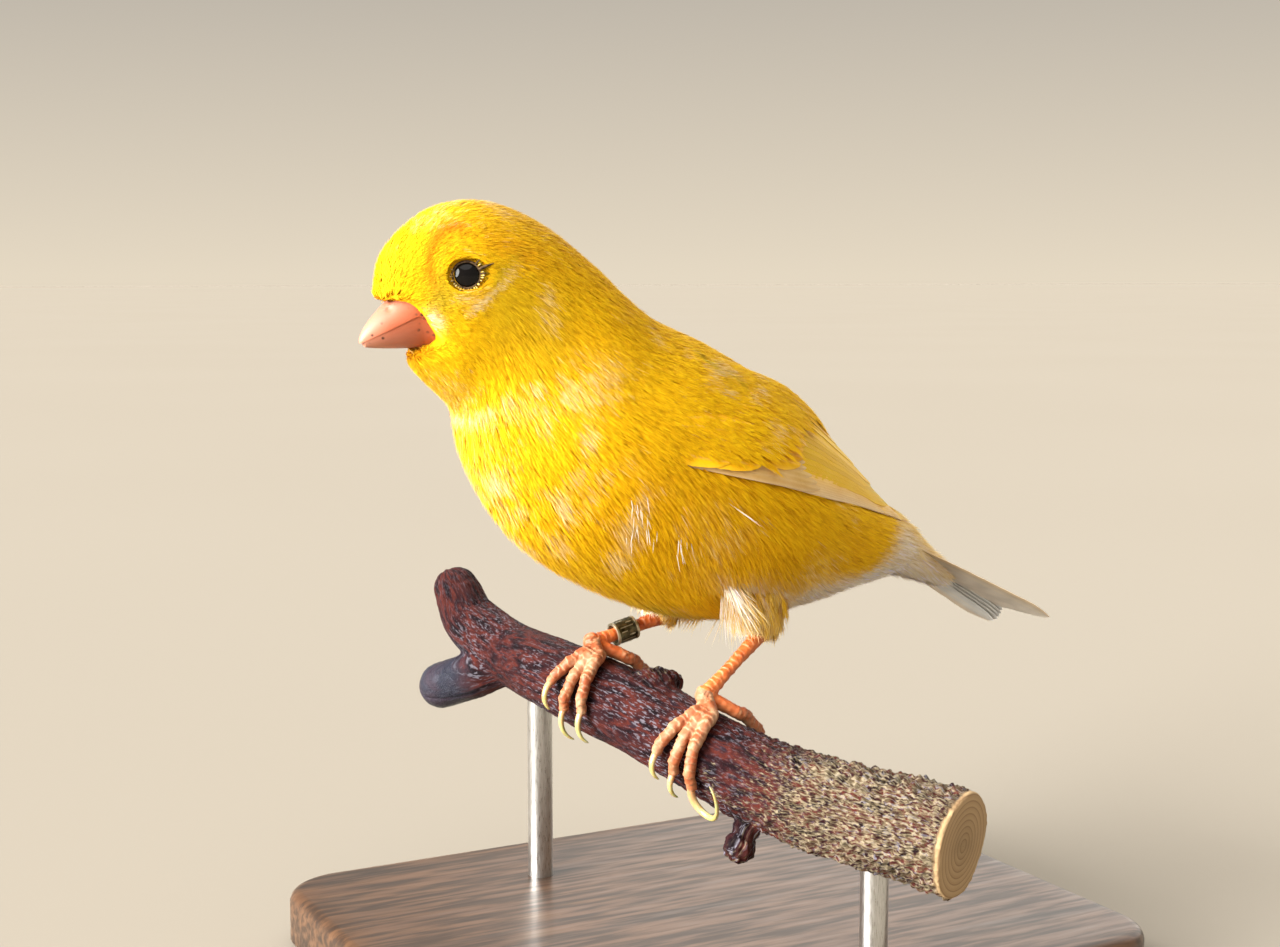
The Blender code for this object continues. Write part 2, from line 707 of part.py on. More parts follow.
def branch_frame(station):
    """The branch's middle, radius and axis at a station, with its upward and forward directions."""
    row = spline(BRANCH, station)
    ahead = spline(BRANCH, station + 0.05)[:3] - spline(BRANCH, station - 0.05)[:3]
    axis = unit(ahead)
    above = np.array([0.0, 0.0, 1.0])
    above = unit(above - axis * (above @ axis))
    forward = np.cross(above, axis)
    forward = forward if forward[0] < 0 else -forward
    return row[:3], row[3], axis, above, forward


def branch_point(station, angle, lift=0.0, shift=0.0):
    """A point over the bark: angle 0 is on top and 90 at the front, and shift runs along the branch."""
    middle, radius, axis, above, forward = branch_frame(station)
    turn = math.radians(angle)
    reach = radius * bark(station, angle) + lift
    return middle + above * reach * math.cos(turn) + forward * reach * math.sin(turn) + axis * shift


def bark(station, angle):
    """How far the bark swells or sinks from round."""
    turn = math.radians(angle)
    return 1 + 0.020 * math.sin(3 * turn + station * 1.7) + 0.016 * math.sin(5 * turn - station * 2.9)


def make_branch(finish):
    points = []
    stations = np.linspace(0, len(BRANCH) - 1, BRANCH_RINGS)
    for station in stations:
        for k in range(BRANCH_SIDES):
            points.append(branch_point(station, 360 * k / BRANCH_SIDES))
    branch = mesh_object("perch_branch", points, tube_faces(len(stations), BRANCH_SIDES), finish)
    end = BRANCH[0]
    cap = ball("cap", end[:3] + BRANCH_CAP_SHIFT, end[3] * 0.97, segments=14, rings=10)
    middle = (STUB_ROOT + STUB_END) / 2
    stub = swept("stub", [STUB_ROOT, middle, STUB_END], [STUB_RADIUS * 0.95, STUB_RADIUS, STUB_RADIUS], 12)
    blunt = ball("blunt", STUB_END, STUB_RADIUS * 0.99, segments=12, rings=8)
    knee = TWIG_ROOT * 0.45 + TWIG_END * 0.55 + TWIG_BEND
    radii = [TWIG_RADIUS * 1.3, TWIG_RADIUS, TWIG_RADIUS * 0.9]
    twig = swept("twig", [TWIG_ROOT, knee, TWIG_END], radii, 9)
    bud = ball("bud", TWIG_END, TWIG_RADIUS * 1.15, segments=9, rings=6)
    knob = ball("knob", KNOB, KNOB_RADIUS, segments=12, rings=8, scale=KNOB_SCALE)
    apply(branch, "UNION", [cap, stub, blunt, twig, bud, knob])
    smooth(branch, 35)


def toe_path(name, toe, steps=9):
    """The middle line of a toe from its knuckle round the bark to where its claw starts."""
    _, _, knuckle, station = LEGS[name]
    shift, wrap, _, _ = TOES[name][toe]
    first = TOE_STARTS[0] if wrap > 0 else TOE_STARTS[1]
    path = [knuckle]
    for i in range(steps):
        part = i / (steps - 1)
        pad = TOE_PAD * math.sin(part * math.pi * 3) ** 2
        lift = TOE_RADIUS * (1.0 - 0.15 * part) + TOE_CLEARANCE + pad
        path.append(branch_point(station, first + (wrap - first) * part, lift, shift * (0.3 + 0.7 * part)))
    return path


def claw_path(name, toe, steps=8):
    """The middle line of a claw: on from its toe round the bark, curling along the branch as it goes."""
    station = LEGS[name][3]
    shift, wrap, radius, turn = TOES[name][toe]
    way = 1 if wrap > 0 else -1
    reach = spline(BRANCH, station)[3] + CLAW_REACH
    path = []
    for i in range(steps):
        part = i / (steps - 1)
        curl = math.radians(turn) * part
        down = TOE_RADIUS * 0.75 + GAP + radius * math.sin(curl)
        along = radius * (1 - math.cos(curl))
        lift = TOE_RADIUS * 0.85 + CLAW_CLEARANCE + CLAW_BOW * math.sin(part * math.pi * 0.75)
        path.append(branch_point(station, wrap + way * math.degrees(down / reach), lift, shift + along))
    return path


def make_leg(name, skin, horn, plumage):
    side, heel, knuckle, _ = LEGS[name]
    path = [heel + (knuckle - heel) * part for part in TARSUS_PARTS]
    radii = [TARSUS_RADIUS * swell for swell in TARSUS_SWELLS]
    leg = swept(f"leg_{name}", path, radii, 10, skin)
    knot = ball("knot", knuckle, KNUCKLE_RADIUS, segments=10, rings=8)
    toes = []
    for toe in range(4):
        way = toe_path(name, toe)
        sizes = [TOE_RADIUS * (1.1 - 0.28 * i / (len(way) - 1)) for i in range(len(way))]
        toes.append(swept(f"toe{toe}", way, sizes, 7))
        claw = claw_path(name, toe)
        taper = [TOE_RADIUS * (0.62 * (1 - i / (len(claw) - 1)) ** 0.8 + 0.12) for i in range(len(claw))]
        smooth(swept(f"claw_{name}_{toe + 1}", claw, taper, 6, horn))
    apply(leg, "UNION", [knot] + toes)
    smooth(leg)
    make_thigh(name, side, heel, knuckle, plumage)


def make_thigh(name, side, heel, knuckle, plumage):
    """The feathered thigh, from the flank down to the heel, cut clear of the belly."""
    down = unit(heel - knuckle)
    top = np.array([heel[0] + THIGH_BACK, side * THIGH_ACROSS, THIGH_TOP])
    above = heel + down * THIGH_END
    path = [top + (above - top) * part for part in THIGH_PARTS] + [heel + down * GAP]
    thigh = swept(f"thigh_{name}", path, THIGH_RADII, 14, plumage)
    apply(thigh, "DIFFERENCE", [body_length("clear", NECK_END + 0.3, TORSO_END, None, GAP)])
    smooth(thigh)


def make_leg_ring(finish):
    """The closed band round the right tarsus, just above the foot."""
    _, heel, knuckle, _ = LEGS["right"]
    axis = unit(knuckle - heel)
    centre = heel + (knuckle - heel) * RING_PLACE
    first = unit(np.cross(axis, (0.0, 1.0, 0.0)))
    second = np.cross(axis, first)
    points = []
    for radius, level in (
        (RING_INNER, -0.5), (RING_OUTER, -0.5), (RING_OUTER, 0.5), (RING_INNER, 0.5),
    ):
        for k in range(RING_SIDES):
            turn = 2 * math.pi * k / RING_SIDES
            radial = first * math.cos(turn) + second * math.sin(turn)
            points.append(centre + radial * radius + axis * RING_HEIGHT * level)
    faces = []
    for loop in range(4):
        here, ahead = loop * RING_SIDES, (loop + 1) % 4 * RING_SIDES
        for k in range(RING_SIDES):
            after = (k + 1) % RING_SIDES
            faces.append((here + k, here + after, ahead + after, ahead + k))
    smooth(mesh_object("leg_ring", points, faces, finish))


def make_stand(wood, metal):
    """A flat base with rounded corners, and two rods that end just under the bark."""
    form = bmesh.new()
    bmesh.ops.create_cube(form, size=1.0)
    bmesh.ops.scale(form, vec=BASE_SIZE, verts=form.verts)
    bmesh.ops.translate(form, vec=(0.0, 0.0, BASE_SIZE[2] / 2), verts=form.verts)
    upright = [e for e in form.edges if abs(e.verts[0].co.z - e.verts[1].co.z) > BASE_SIZE[2] / 2]
    bmesh.ops.bevel(form, geom=upright, offset=BASE_CORNER, segments=6, profile=0.5, affect="EDGES")
    rim = [e for e in form.edges if all(v.co.z > BASE_SIZE[2] - 1e-6 for v in e.verts)]
    bmesh.ops.bevel(form, geom=rim, offset=BASE_EDGE, segments=2, profile=0.5, affect="EDGES")
    mesh = bpy.data.meshes.new("stand_base")
    form.to_mesh(mesh)
    form.free()
    mesh.materials.append(wood)
    base = bpy.data.objects.new("stand_base", mesh)
    bpy.context.scene.collection.objects.link(base)
    smooth(base)
    foot = BASE_SIZE[2] + GAP - TORSO[2]
    for name, station in ROD_STATIONS.items():
        middle, radius, _, _, _ = branch_frame(station)
        low = np.array([middle[0], middle[1], foot])
        rod = swept(name, [low, middle], [ROD_RADIUS, ROD_RADIUS], 16, metal)
        apply(rod, "DIFFERENCE", [branch_clearance(station)])
        smooth(rod)


def branch_clearance(station):
    """A short length of the branch, grown by the gap, to end a rod with."""
    points = []
    stations = np.linspace(station - 1.2, station + 1.2, 13)
    for at in stations:
        for k in range(BRANCH_SIDES):
            points.append(branch_point(at, 360 * k / BRANCH_SIDES, GAP))
    return mesh_object("clearance", points, tube_faces(len(stations), BRANCH_SIDES))


clear_scene()
plumage = material("yellow_plumage", (0.95, 0.66, 0.04), 0.85)
flight = material("flight_feathers", (0.93, 0.80, 0.42), 0.75)
make_head(plumage)
make_eyes(material("eye", (0.01, 0.008, 0.007), 0.08))
make_bill(material("bill_horn", (0.86, 0.50, 0.38), 0.40))
make_torso(plumage)
for wing_name, wing_side in (("wing_left", -1), ("wing_right", 1)):
    make_wing(wing_name, wing_side, flight)
make_tail(flight)
make_branch(material("bark", (0.20, 0.10, 0.08), 0.80))
leg_skin = material("leg_skin", (0.85, 0.45, 0.28), 0.55)
claw_horn = material("claw_horn", (0.84, 0.78, 0.55), 0.35)
for leg_name in LEGS:
    make_leg(leg_name, leg_skin, claw_horn, plumage)
make_leg_ring(material("ring_metal", (0.42, 0.42, 0.30), 0.35, 0.9))
rod_metal = material("rod_metal", (0.62, 0.60, 0.56), 0.30, 1.0)
make_stand(material("base_wood", (0.24, 0.13, 0.07), 0.45), rod_metal)
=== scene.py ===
import math

import bmesh
import bpy
import numpy as np
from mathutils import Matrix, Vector, kdtree, noise


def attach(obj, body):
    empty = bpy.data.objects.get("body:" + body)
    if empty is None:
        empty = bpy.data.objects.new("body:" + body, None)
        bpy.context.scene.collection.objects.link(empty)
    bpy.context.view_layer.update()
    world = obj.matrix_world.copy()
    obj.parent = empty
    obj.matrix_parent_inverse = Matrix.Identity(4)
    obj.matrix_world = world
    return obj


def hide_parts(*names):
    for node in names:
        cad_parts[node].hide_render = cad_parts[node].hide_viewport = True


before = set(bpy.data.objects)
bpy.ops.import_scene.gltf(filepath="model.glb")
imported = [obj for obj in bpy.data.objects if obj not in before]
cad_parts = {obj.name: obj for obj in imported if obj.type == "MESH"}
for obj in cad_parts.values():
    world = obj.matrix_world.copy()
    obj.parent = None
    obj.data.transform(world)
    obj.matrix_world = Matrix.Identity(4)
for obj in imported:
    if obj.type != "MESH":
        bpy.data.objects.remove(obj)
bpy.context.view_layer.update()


# The display base is a flat block of dark hardwood, with rounded corners and eased edges,
# planed and rubbed with satin oil. It lies flat and carries the two rods.
BASE_LENGTH = 0.116
BASE_WIDTH = 0.090
BASE_CORNER = 0.010
BASE_LEAST_CORNER = 0.002
CORNER_STEPS = 14
# How far in from the outline each ring of the block lies, and its height, from below to the top.
BASE_PROFILE = (
    (0.0012, 0.0000), (0.0005, 0.0002), (0.0000, 0.0009), (0.0000, 0.0073), (0.0003, 0.0081),
    (0.0008, 0.0086), (0.0015, 0.0089), (0.0022, 0.0090), (0.0060, 0.0090), (0.0200, 0.0090),
)


def add_node(tree, kind, sockets=None, **settings):
    """A shader node with these settings, and with its sockets set or linked."""
    made = tree.nodes.new("ShaderNode" + kind)
    for setting, value in settings.items():
        setattr(made, setting, value)
    for socket, value in (sockets or {}).items():
        if isinstance(value, bpy.types.NodeSocket):
            tree.links.new(value, made.inputs[socket])
        else:
            made.inputs[socket].default_value = value
    return made


def figure(tree, way, *values):
    """The outcome of a sum on values or sockets."""
    return add_node(tree, "Math", dict(enumerate(values)), operation=way).outputs[0]


def blend(tree, share, first, second, way="MIX"):
    """Two colours mixed by a share."""
    colours = [c if isinstance(c, bpy.types.NodeSocket) else (*c, 1.0) for c in (first, second)]
    sockets = {0: share, 6: colours[0], 7: colours[1]}
    return add_node(tree, "Mix", sockets, data_type="RGBA", blend_type=way).outputs[2]


def shades(tree, value, *stops):
    """A colour read off a scale of stops, each a place and a colour or a grey."""
    made = add_node(tree, "ValToRGB", {"Fac": value})
    elements = made.color_ramp.elements
    elements[0].position, elements[1].position = stops[0][0], stops[-1][0]
    for place, _ in stops[1:-1]:
        elements.new(place)
    for element, (_, colour) in zip(elements, stops):
        element.color = (*(colour if isinstance(colour, tuple) else (colour,) * 3), 1.0)
    return made.outputs["Color"]


def new_finish(name, **sockets):
    """A material, its nodes and its shader, with the shader's own sockets set by name."""
    made = bpy.data.materials.new(name)
    made.use_nodes = True
    shader = made.node_tree.nodes["Principled BSDF"]
    for socket, value in sockets.items():
        shader.inputs[socket.replace("_", " ")].default_value = value
    return made, made.node_tree, shader


def colour_it(tree, shader, colour, roughness=None, height=None, strength=0.3, depth=0.0002):
    """Link a colour, a roughness and a relief to a shader."""
    tree.links.new(colour, shader.inputs["Base Color"])
    if roughness is not None:
        tree.links.new(roughness, shader.inputs["Roughness"])
    if height is not None:
        relief = add_node(tree, "Bump", {"Strength": strength, "Distance": depth, "Height": height})
        tree.links.new(relief.outputs["Normal"], shader.inputs["Normal"])


def new_group(name, inputs, outputs):
    """A node group with number inputs and their values, and colour or number outputs."""
    group = bpy.data.node_groups.new(name, "ShaderNodeTree")
    for label, value in inputs.items():
        kind = "NodeSocketVector" if isinstance(value, tuple) else "NodeSocketFloat"
        group.interface.new_socket(label, in_out="INPUT", socket_type=kind).default_value = value
    for label, kind in outputs.items():
        group.interface.new_socket(label, in_out="OUTPUT", socket_type="NodeSocket" + kind)
    return group, group.nodes.new("NodeGroupInput").outputs, group.nodes.new("NodeGroupOutput").inputs


def use_group(tree, group, **sockets):
    """The outputs of a node group placed in a material with its own values."""
    return add_node(tree, "Group", sockets, node_tree=group).outputs


# The long grain that timber, bark and brushed metal share: a drift and fine lines, drawn out by a stretch.
long_grain, given, wanted = new_group(
    "long_grain",
    {"Place": (0.0, 0.0, 0.0), "Stretch": (1.0, 1.0, 1.0), "Size": 200.0, "Sharpness": 2.0},
    {"Drift": "Float", "Lines": "Float"},
)
drawn_out = add_node(
    long_grain, "VectorMath", {0: given["Place"], 1: given["Stretch"]}, operation="MULTIPLY"
).outputs[0]
broad = add_node(
    long_grain, "TexNoise", {"Vector": drawn_out, "Scale": given["Size"], "Detail": 3.0, "Distortion": 0.6}
)
finer_size = figure(long_grain, "MULTIPLY", given["Size"], 5.0)
finer = add_node(long_grain, "TexNoise", {"Vector": drawn_out, "Scale": finer_size, "Detail": 5.0})
fine_lines = figure(long_grain, "POWER", finer.outputs["Fac"], given["Sharpness"])
long_grain.links.new(broad.outputs["Fac"], wanted["Drift"])
long_grain.links.new(fine_lines, wanted["Lines"])


def own_place(tree):
    """A point's place on its own object, which moves with it."""
    return add_node(tree, "TexCoord").outputs["Object"]


def place_object(name, data):
    """An object of a mesh, lamp or camera, put in the scene."""
    made = bpy.data.objects.new(name, data)
    bpy.context.scene.collection.objects.link(made)
    return made


def make_piece(name, points, faces, finish, sharp_from, outward=True):
    """A smooth mesh object of these points, in metres, riding on the one body."""
    mesh = bpy.data.meshes.new(name)
    mesh.from_pydata(np.asarray(points, float).tolist(), [], faces)
    if outward:
        form = bmesh.new()
        form.from_mesh(mesh)
        bmesh.ops.recalc_face_normals(form, faces=form.faces)
        form.to_mesh(mesh)
        form.free()
    mesh.shade_smooth()
    mesh.set_sharp_from_angle(angle=math.radians(sharp_from))
    mesh.materials.append(finish)
    made = place_object(name, mesh)
    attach(made, "root")
    return made


def ring_faces(rings, sides, looped=False):
    """Faces between rings of like count, with a flat face on each end, or joined up in a loop."""
    faces = []
    for ring in range(rings - 1 + looped):
        here, there = ring * sides, (ring + 1) % rings * sides
        for k in range(sides):
            beside = (k + 1) % sides
            faces.append((here + k, here + beside, there + beside, there + k))
    if not looped:
        faces += [tuple(range(sides))[::-1], tuple(range((rings - 1) * sides, rings * sides))]
    return faces


def base_outline(inset, height):
    """A ring of the block: a rectangle with round corners."""
    radius = max(BASE_CORNER - inset, BASE_LEAST_CORNER)
    reach_x, reach_y = BASE_LENGTH / 2 - inset - radius, BASE_WIDTH / 2 - inset - radius
    ring = []
    for quarter, (way_x, way_y) in enumerate(((1, 1), (-1, 1), (-1, -1), (1, -1))):
        for turn in np.radians(90 * quarter + np.linspace(0, 90, CORNER_STEPS)):
            x, y = way_x * reach_x + radius * math.cos(turn), way_y * reach_y + radius * math.sin(turn)
            ring.append((x, y, height))
    return ring


oiled_wood, tree, shader = new_finish("oiled_wood", Roughness=0.38, Coat_Weight=0.25, Coat_Roughness=0.22)
timber_run = {"Stretch": (0.10, 1.0, 1.0), "Size": 150.0, "Sharpness": 2.5}
grain = use_group(tree, long_grain, Place=own_place(tree), **timber_run)
figured = shades(
    tree, grain["Drift"],
    (0.30, (0.050, 0.022, 0.010)), (0.48, (0.120, 0.055, 0.024)), (0.60, (0.085, 0.037, 0.016)),
    (0.72, (0.165, 0.078, 0.034)),
)
pores = shades(tree, grain["Lines"], (0.10, 0.35), (0.24, 1.0))
wood_colour = blend(tree, 1.0, figured, pores, "MULTIPLY")
wood_gloss = figure(tree, "SUBTRACT", 0.52, figure(tree, "MULTIPLY", grain["Lines"], 0.5))
colour_it(tree, shader, wood_colour, wood_gloss, grain["Lines"], 0.25, 0.0001)

base_points = [point for inset, height in BASE_PROFILE for point in base_outline(inset, height)]
display_base = make_piece(
    "display_base", base_points, ring_faces(len(BASE_PROFILE), 4 * CORNER_STEPS), oiled_wood, 50
)
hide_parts("stand_base")


# The perch is a short length of a fruit tree's branch, sawn at its thick end, with its bark on. A broken
# side stub, a small twig and a knob under the bird's middle are left as they grew.
# The middle of the torso, which the bird's and the branch's sizes count from.
BIRD = np.array([-0.008, 0.004, 0.083])
# The middle line from the rounded upper end to the saw cut, with the radius.
BRANCH = np.array([
    (-0.0150, 0.0434, -0.0282, 0.0042), (-0.0136, 0.0394, -0.0334, 0.0048),
    (-0.0102, 0.0300, -0.0374, 0.0054), (-0.0085, 0.0170, -0.0385, 0.0060),
    (-0.0053, 0.0080, -0.0403, 0.0063), (-0.0010, -0.0020, -0.0433, 0.0065),
    (0.0035, -0.0120, -0.0466, 0.0066), (0.0086, -0.0230, -0.0497, 0.0068),
    (0.0139, -0.0345, -0.0514, 0.0072), (0.0196, -0.0460, -0.0525, 0.0076),
    (0.0226, -0.0520, -0.0532, 0.0078),
])
BRANCH_RINGS = 140
BRANCH_SIDES = 72
# The stub's and the twig's root, end and radius, and the stub's thickness along it beside its radius.
STUB = (np.array([-0.0100, 0.0300, -0.0385]), np.array([-0.0196, 0.0402, -0.0437]), 0.0040)
STUB_SWELLS = (0.98, 0.95, 0.96, 1.0, 1.03, 1.0, 1.0, 1.0)
TWIG = (np.array([0.0075, -0.0205, -0.0500]), np.array([0.0034, -0.0222, -0.0588]), 0.0021)
TWIG_SWELLS = (1.3, 1.0, 0.9)
KNOB = (np.array([0.0010, 0.0000, -0.0378]), 0.0034)
BARK_GRAIN = 0.00036
BARK_RELIEF = 0.00050
BARK_LOOKUP_STEPS = 500
# The even radius that the bark's plates are laid out on.
BARK_AROUND = 0.0066


def along(table, at):
    """The table's rows at stations between its rows, on a smooth curve through them."""
    at = np.asarray(at, float)
    last = len(table) - 1
    index = np.clip(at.astype(int), 0, last - 1)
    part = (at - index)[..., None]
    first = index[..., None] > 0
    before = np.where(first, table[np.maximum(index - 1, 0)], 2 * table[0] - table[1])
    inner = index[..., None] + 2 <= last
    after = np.where(inner, table[np.minimum(index + 2, last)], 2 * table[last] - table[last - 1])
    start, end = table[index], table[index + 1]
    curved = 0.5 * (
        2 * start
        + (end - before) * part
        + (2 * before - 5 * start + 4 * end - after) * part**2
        + (3 * start - before - 3 * end + after) * part**3
    )
    beyond = ((at < 0) | (at > last))[..., None]
    return np.where(beyond, start + (end - start) * part, curved)


def unit(vectors):
    """Vectors brought to a length of one."""
    return vectors / np.maximum(np.linalg.norm(vectors, axis=-1, keepdims=True), 1e-12)


def branch_frame(station):
    """The branch's middle, radius, axis, upward and forward directions at stations."""
    station = np.asarray(station, float)
    row = along(BRANCH, station)
    axis = unit(along(BRANCH, station + 0.05)[..., :3] - along(BRANCH, station - 0.05)[..., :3])
    above = np.broadcast_to(np.array([0.0, 0.0, 1.0]), axis.shape)
    above = unit(above - axis * (above * axis).sum(-1, keepdims=True))
    forward = np.cross(above, axis)
    forward = forward * np.where(forward[..., :1] < 0, 1.0, -1.0)
    return row[..., :3] + BIRD, row[..., 3:], axis, above, forward


def branch_point(station, angle, lift=0.0, shift=0.0):
    """Points over the bark: angle 0 is on top and 90 at the front, and shift runs along the branch."""
    middle, radius, axis, above, forward = branch_frame(station)
    turn = np.radians(np.asarray(angle, float))[..., None]
    waves = np.sin(3 * turn + np.asarray(station)[..., None] * 1.7) * 0.020
    waves = waves + np.sin(5 * turn - np.asarray(station)[..., None] * 2.9) * 0.016
    reach = radius * (1 + waves) + np.asarray(lift)[..., None]
    shift = np.asarray(shift, float)[..., None]
    return middle + above * reach * np.cos(turn) + forward * reach * np.sin(turn) + axis * shift


def tube(path, radii, sides, squeeze=1.0):
    """Points and faces of a closed tube along a path, with a radius at each point."""
    path = np.asarray(path, float)
    radii = np.asarray(radii, float)
    ahead = unit(np.gradient(path, axis=0))
    reference = np.array([0.0, 0.0, 1.0])
    turn = 2 * math.pi * np.arange(sides)[:, None] / sides
    points = []
    for point, radius, way in zip(path, radii, ahead):
        sideways = np.cross(way, reference)
        if np.linalg.norm(sideways) < 0.2:
            sideways = np.cross(way, (0.0, 1.0, 0.0))
        sideways = unit(sideways)
        reference = unit(np.cross(sideways, way))
        points.extend(point + radius * (sideways * np.cos(turn) + reference * squeeze * np.sin(turn)))
    return points, ring_faces(len(path), sides)


def ball(centre, radius, scale=(1.0, 1.0, 1.0), rings=16, sides=24):
    """Points and faces of a ball, or of an egg if scaled."""
    tilt = np.linspace(0.02, math.pi - 0.02, rings)
    turn = 2 * math.pi * np.arange(sides) / sides
    x, y = (np.outer(np.sin(tilt), way) for way in (np.cos(turn), np.sin(turn)))
    unit_points = np.stack([x, y, np.outer(np.cos(tilt), np.ones(sides))], -1)
    return list((centre + unit_points * radius * np.array(scale)).reshape(-1, 3)), ring_faces(rings, sides)


def add_part(points, faces, part):
    """Add one more part, which is its points and faces, to the points and faces of a mesh."""
    faces += [tuple(corner + len(points) for corner in face) for face in part[1]]
    points += list(part[0])


def fuse(name, parts, voxel, finish):
    """One closed skin over overlapping parts, made on a fine lattice."""
    points, faces = [], []
    for part in parts:
        add_part(points, faces, part)
    made = make_piece(name, points, faces, finish, 180)
    remesh = made.modifiers.new("fuse", "REMESH")
    remesh.mode = "VOXEL"
    remesh.voxel_size = voxel
    remesh.use_smooth_shade = True
    graph = bpy.context.evaluated_depsgraph_get()
    fused = bpy.data.meshes.new_from_object(made.evaluated_get(graph))
    made.modifiers.clear()
    made.data = fused
    return made


def read_points(thing):
    """The points of a mesh object and their normals."""
    points = np.empty(len(thing.data.vertices) * 3)
    thing.data.vertices.foreach_get("co", points)
    normals = np.empty_like(points)
    thing.data.vertices.foreach_get("normal", normals)
    return points.reshape(-1, 3), normals.reshape(-1, 3)


def write_points(thing, points):
    """Move a mesh object's points."""
    thing.data.vertices.foreach_set("co", points.astype(np.float32).ravel())
    thing.data.update()


def relax(thing, times, share=0.5):
    """Smooth a mesh by moving each point towards its neighbours."""
    points, _ = read_points(thing)
    edges = np.empty(len(thing.data.edges) * 2, int)
    thing.data.edges.foreach_get("vertices", edges)
    first, second = edges.reshape(-1, 2).T
    count = np.bincount(edges, minlength=len(points))[:, None]
    for _ in range(times):
        total = np.zeros_like(points)
        np.add.at(total, first, points[second])
        np.add.at(total, second, points[first])
        points += share * (total / np.maximum(count, 1) - points)
    write_points(thing, points)


def mottle(points, size, seed, stretch=(1.0, 1.0, 1.0)):
    """Smooth noise from -1 to 1 at points, of a feature size in metres."""
    scaled = np.asarray(points) / (size * np.array(stretch)) + seed * 17.3
    return np.array([noise.noise(Vector(point)) for point in scaled])


def nearest(samples, points):
    """The index of the sample that lies nearest to each point."""
    tree_of = kdtree.KDTree(len(samples))
    for index, sample in enumerate(samples):
        tree_of.insert(sample, index)
    tree_of.balance()
    return np.array([tree_of.find(point)[1] for point in points])


def mark(thing, label, *channels):
    """Write up to four channels of numbers on a mesh's points, for its finish to read."""
    count = len(thing.data.vertices)
    values = np.ones((count, 4), np.float32)
    for k, channel in enumerate(channels):
        values[:, k] = channel
    layer = thing.data.attributes.new(label, "FLOAT_COLOR", "POINT")
    layer.data.foreach_set("color", values.ravel())


def read_mark(tree, label):
    """The channels that mark wrote, as sockets red, green, blue and alpha."""
    source = add_node(tree, "Attribute", attribute_name=label)
    parts = add_node(tree, "SeparateColor", {0: source.outputs["Color"]})
    return [*parts.outputs[:3], source.outputs["Alpha"]]


def cloud(tree, scale, detail):
    """Soft noise through a piece's own space, with so many grains to a metre."""
    sockets = {"Vector": own_place(tree), "Scale": scale, "Detail": detail}
    return add_node(tree, "TexNoise", sockets).outputs["Fac"]


def tint(tree, mask, share, colour, tinted):
    """A colour tinted with another by a share of a mask."""
    return blend(tree, figure(tree, "MULTIPLY", mask, share), colour, tinted)


def over_base(tree, base, value, share):
    """A share of a value over a base, such as a finish's roughness."""
    return figure(tree, "ADD", base, figure(tree, "MULTIPLY", value, share))


plum_bark, tree, shader = new_finish("plum_bark", Roughness=0.7, Specular_IOR_Level=0.12)
bark_run, bark_round, bark_crust, bark_cut = read_mark(tree, "bark")
bark_stub = read_mark(tree, "stub")[0]
bark_place = add_node(tree, "CombineXYZ", {0: bark_run, 1: bark_round, 2: 0.0}).outputs[0]
grain, fine_grain = (
    use_group(tree, long_grain, Place=bark_place, Stretch=(0.50, 1.0, 1.0), Size=size, Sharpness=sharpness)
    for size, sharpness in ((4.5, 1.6), (19.0, 2.4))
)
bark_colour = shades(
    tree, grain["Drift"],
    (0.34, (0.007, 0.002, 0.004)), (0.45, (0.028, 0.006, 0.008)), (0.53, (0.062, 0.013, 0.011)),
    (0.60, (0.100, 0.018, 0.012)), (0.70, (0.028, 0.013, 0.020)),
)
across_perch = add_node(tree, "SeparateXYZ", {0: own_place(tree)}).outputs[0]
towards_right = over_base(tree, 0.5, across_perch, 8.0)
silver = shades(tree, fine_grain["Drift"], (0.55, 0.0), (0.62, 1.0))
silver = figure(tree, "MULTIPLY", silver, shades(tree, cloud(tree, 75.0, 2.0), (0.40, 0.22), (0.56, 0.95)))
silver = figure(tree, "MULTIPLY", silver, shades(tree, towards_right, (0.12, 0.30), (0.42, 1.0)))
bark_colour = blend(tree, silver, bark_colour, (0.19, 0.175, 0.21))
crust = shades(tree, figure(tree, "MULTIPLY", bark_crust, grain["Lines"]), (0.25, 0.0), (0.38, 1.0))
crust_colour = shades(tree, fine_grain["Drift"], (0.40, (0.11, 0.080, 0.042)), (0.58, (0.35, 0.285, 0.18)))
bark_colour = tint(tree, crust, 0.85, bark_colour, crust_colour)
# The broken stub is tinted dark slate blue: partly its weathered wood and partly a painted bluish reflection
# in its shade.
bark_colour = tint(tree, bark_stub, 0.80, bark_colour, (0.026, 0.032, 0.050))
dark_lines = shades(tree, fine_grain["Lines"], (0.03, 0.22), (0.15, 1.0))
bark_colour = blend(tree, 0.9, bark_colour, dark_lines, "MULTIPLY")
saw_rings = shades(
    tree, figure(tree, "FRACT", figure(tree, "MULTIPLY", bark_run, 7.0)),
    (0.0, (0.30, 0.17, 0.08)), (0.25, (0.56, 0.38, 0.20)), (1.0, (0.48, 0.31, 0.16)),
)
bark_colour = blend(tree, bark_cut, bark_colour, saw_rings)
bark_gloss = over_base(tree, 0.45, grain["Drift"], 0.35)
bark_gloss = figure(tree, "SUBTRACT", bark_gloss, figure(tree, "MULTIPLY", bark_stub, 0.42))
colour_it(tree, shader, bark_colour, bark_gloss, fine_grain["Lines"], 0.9, 0.00035)

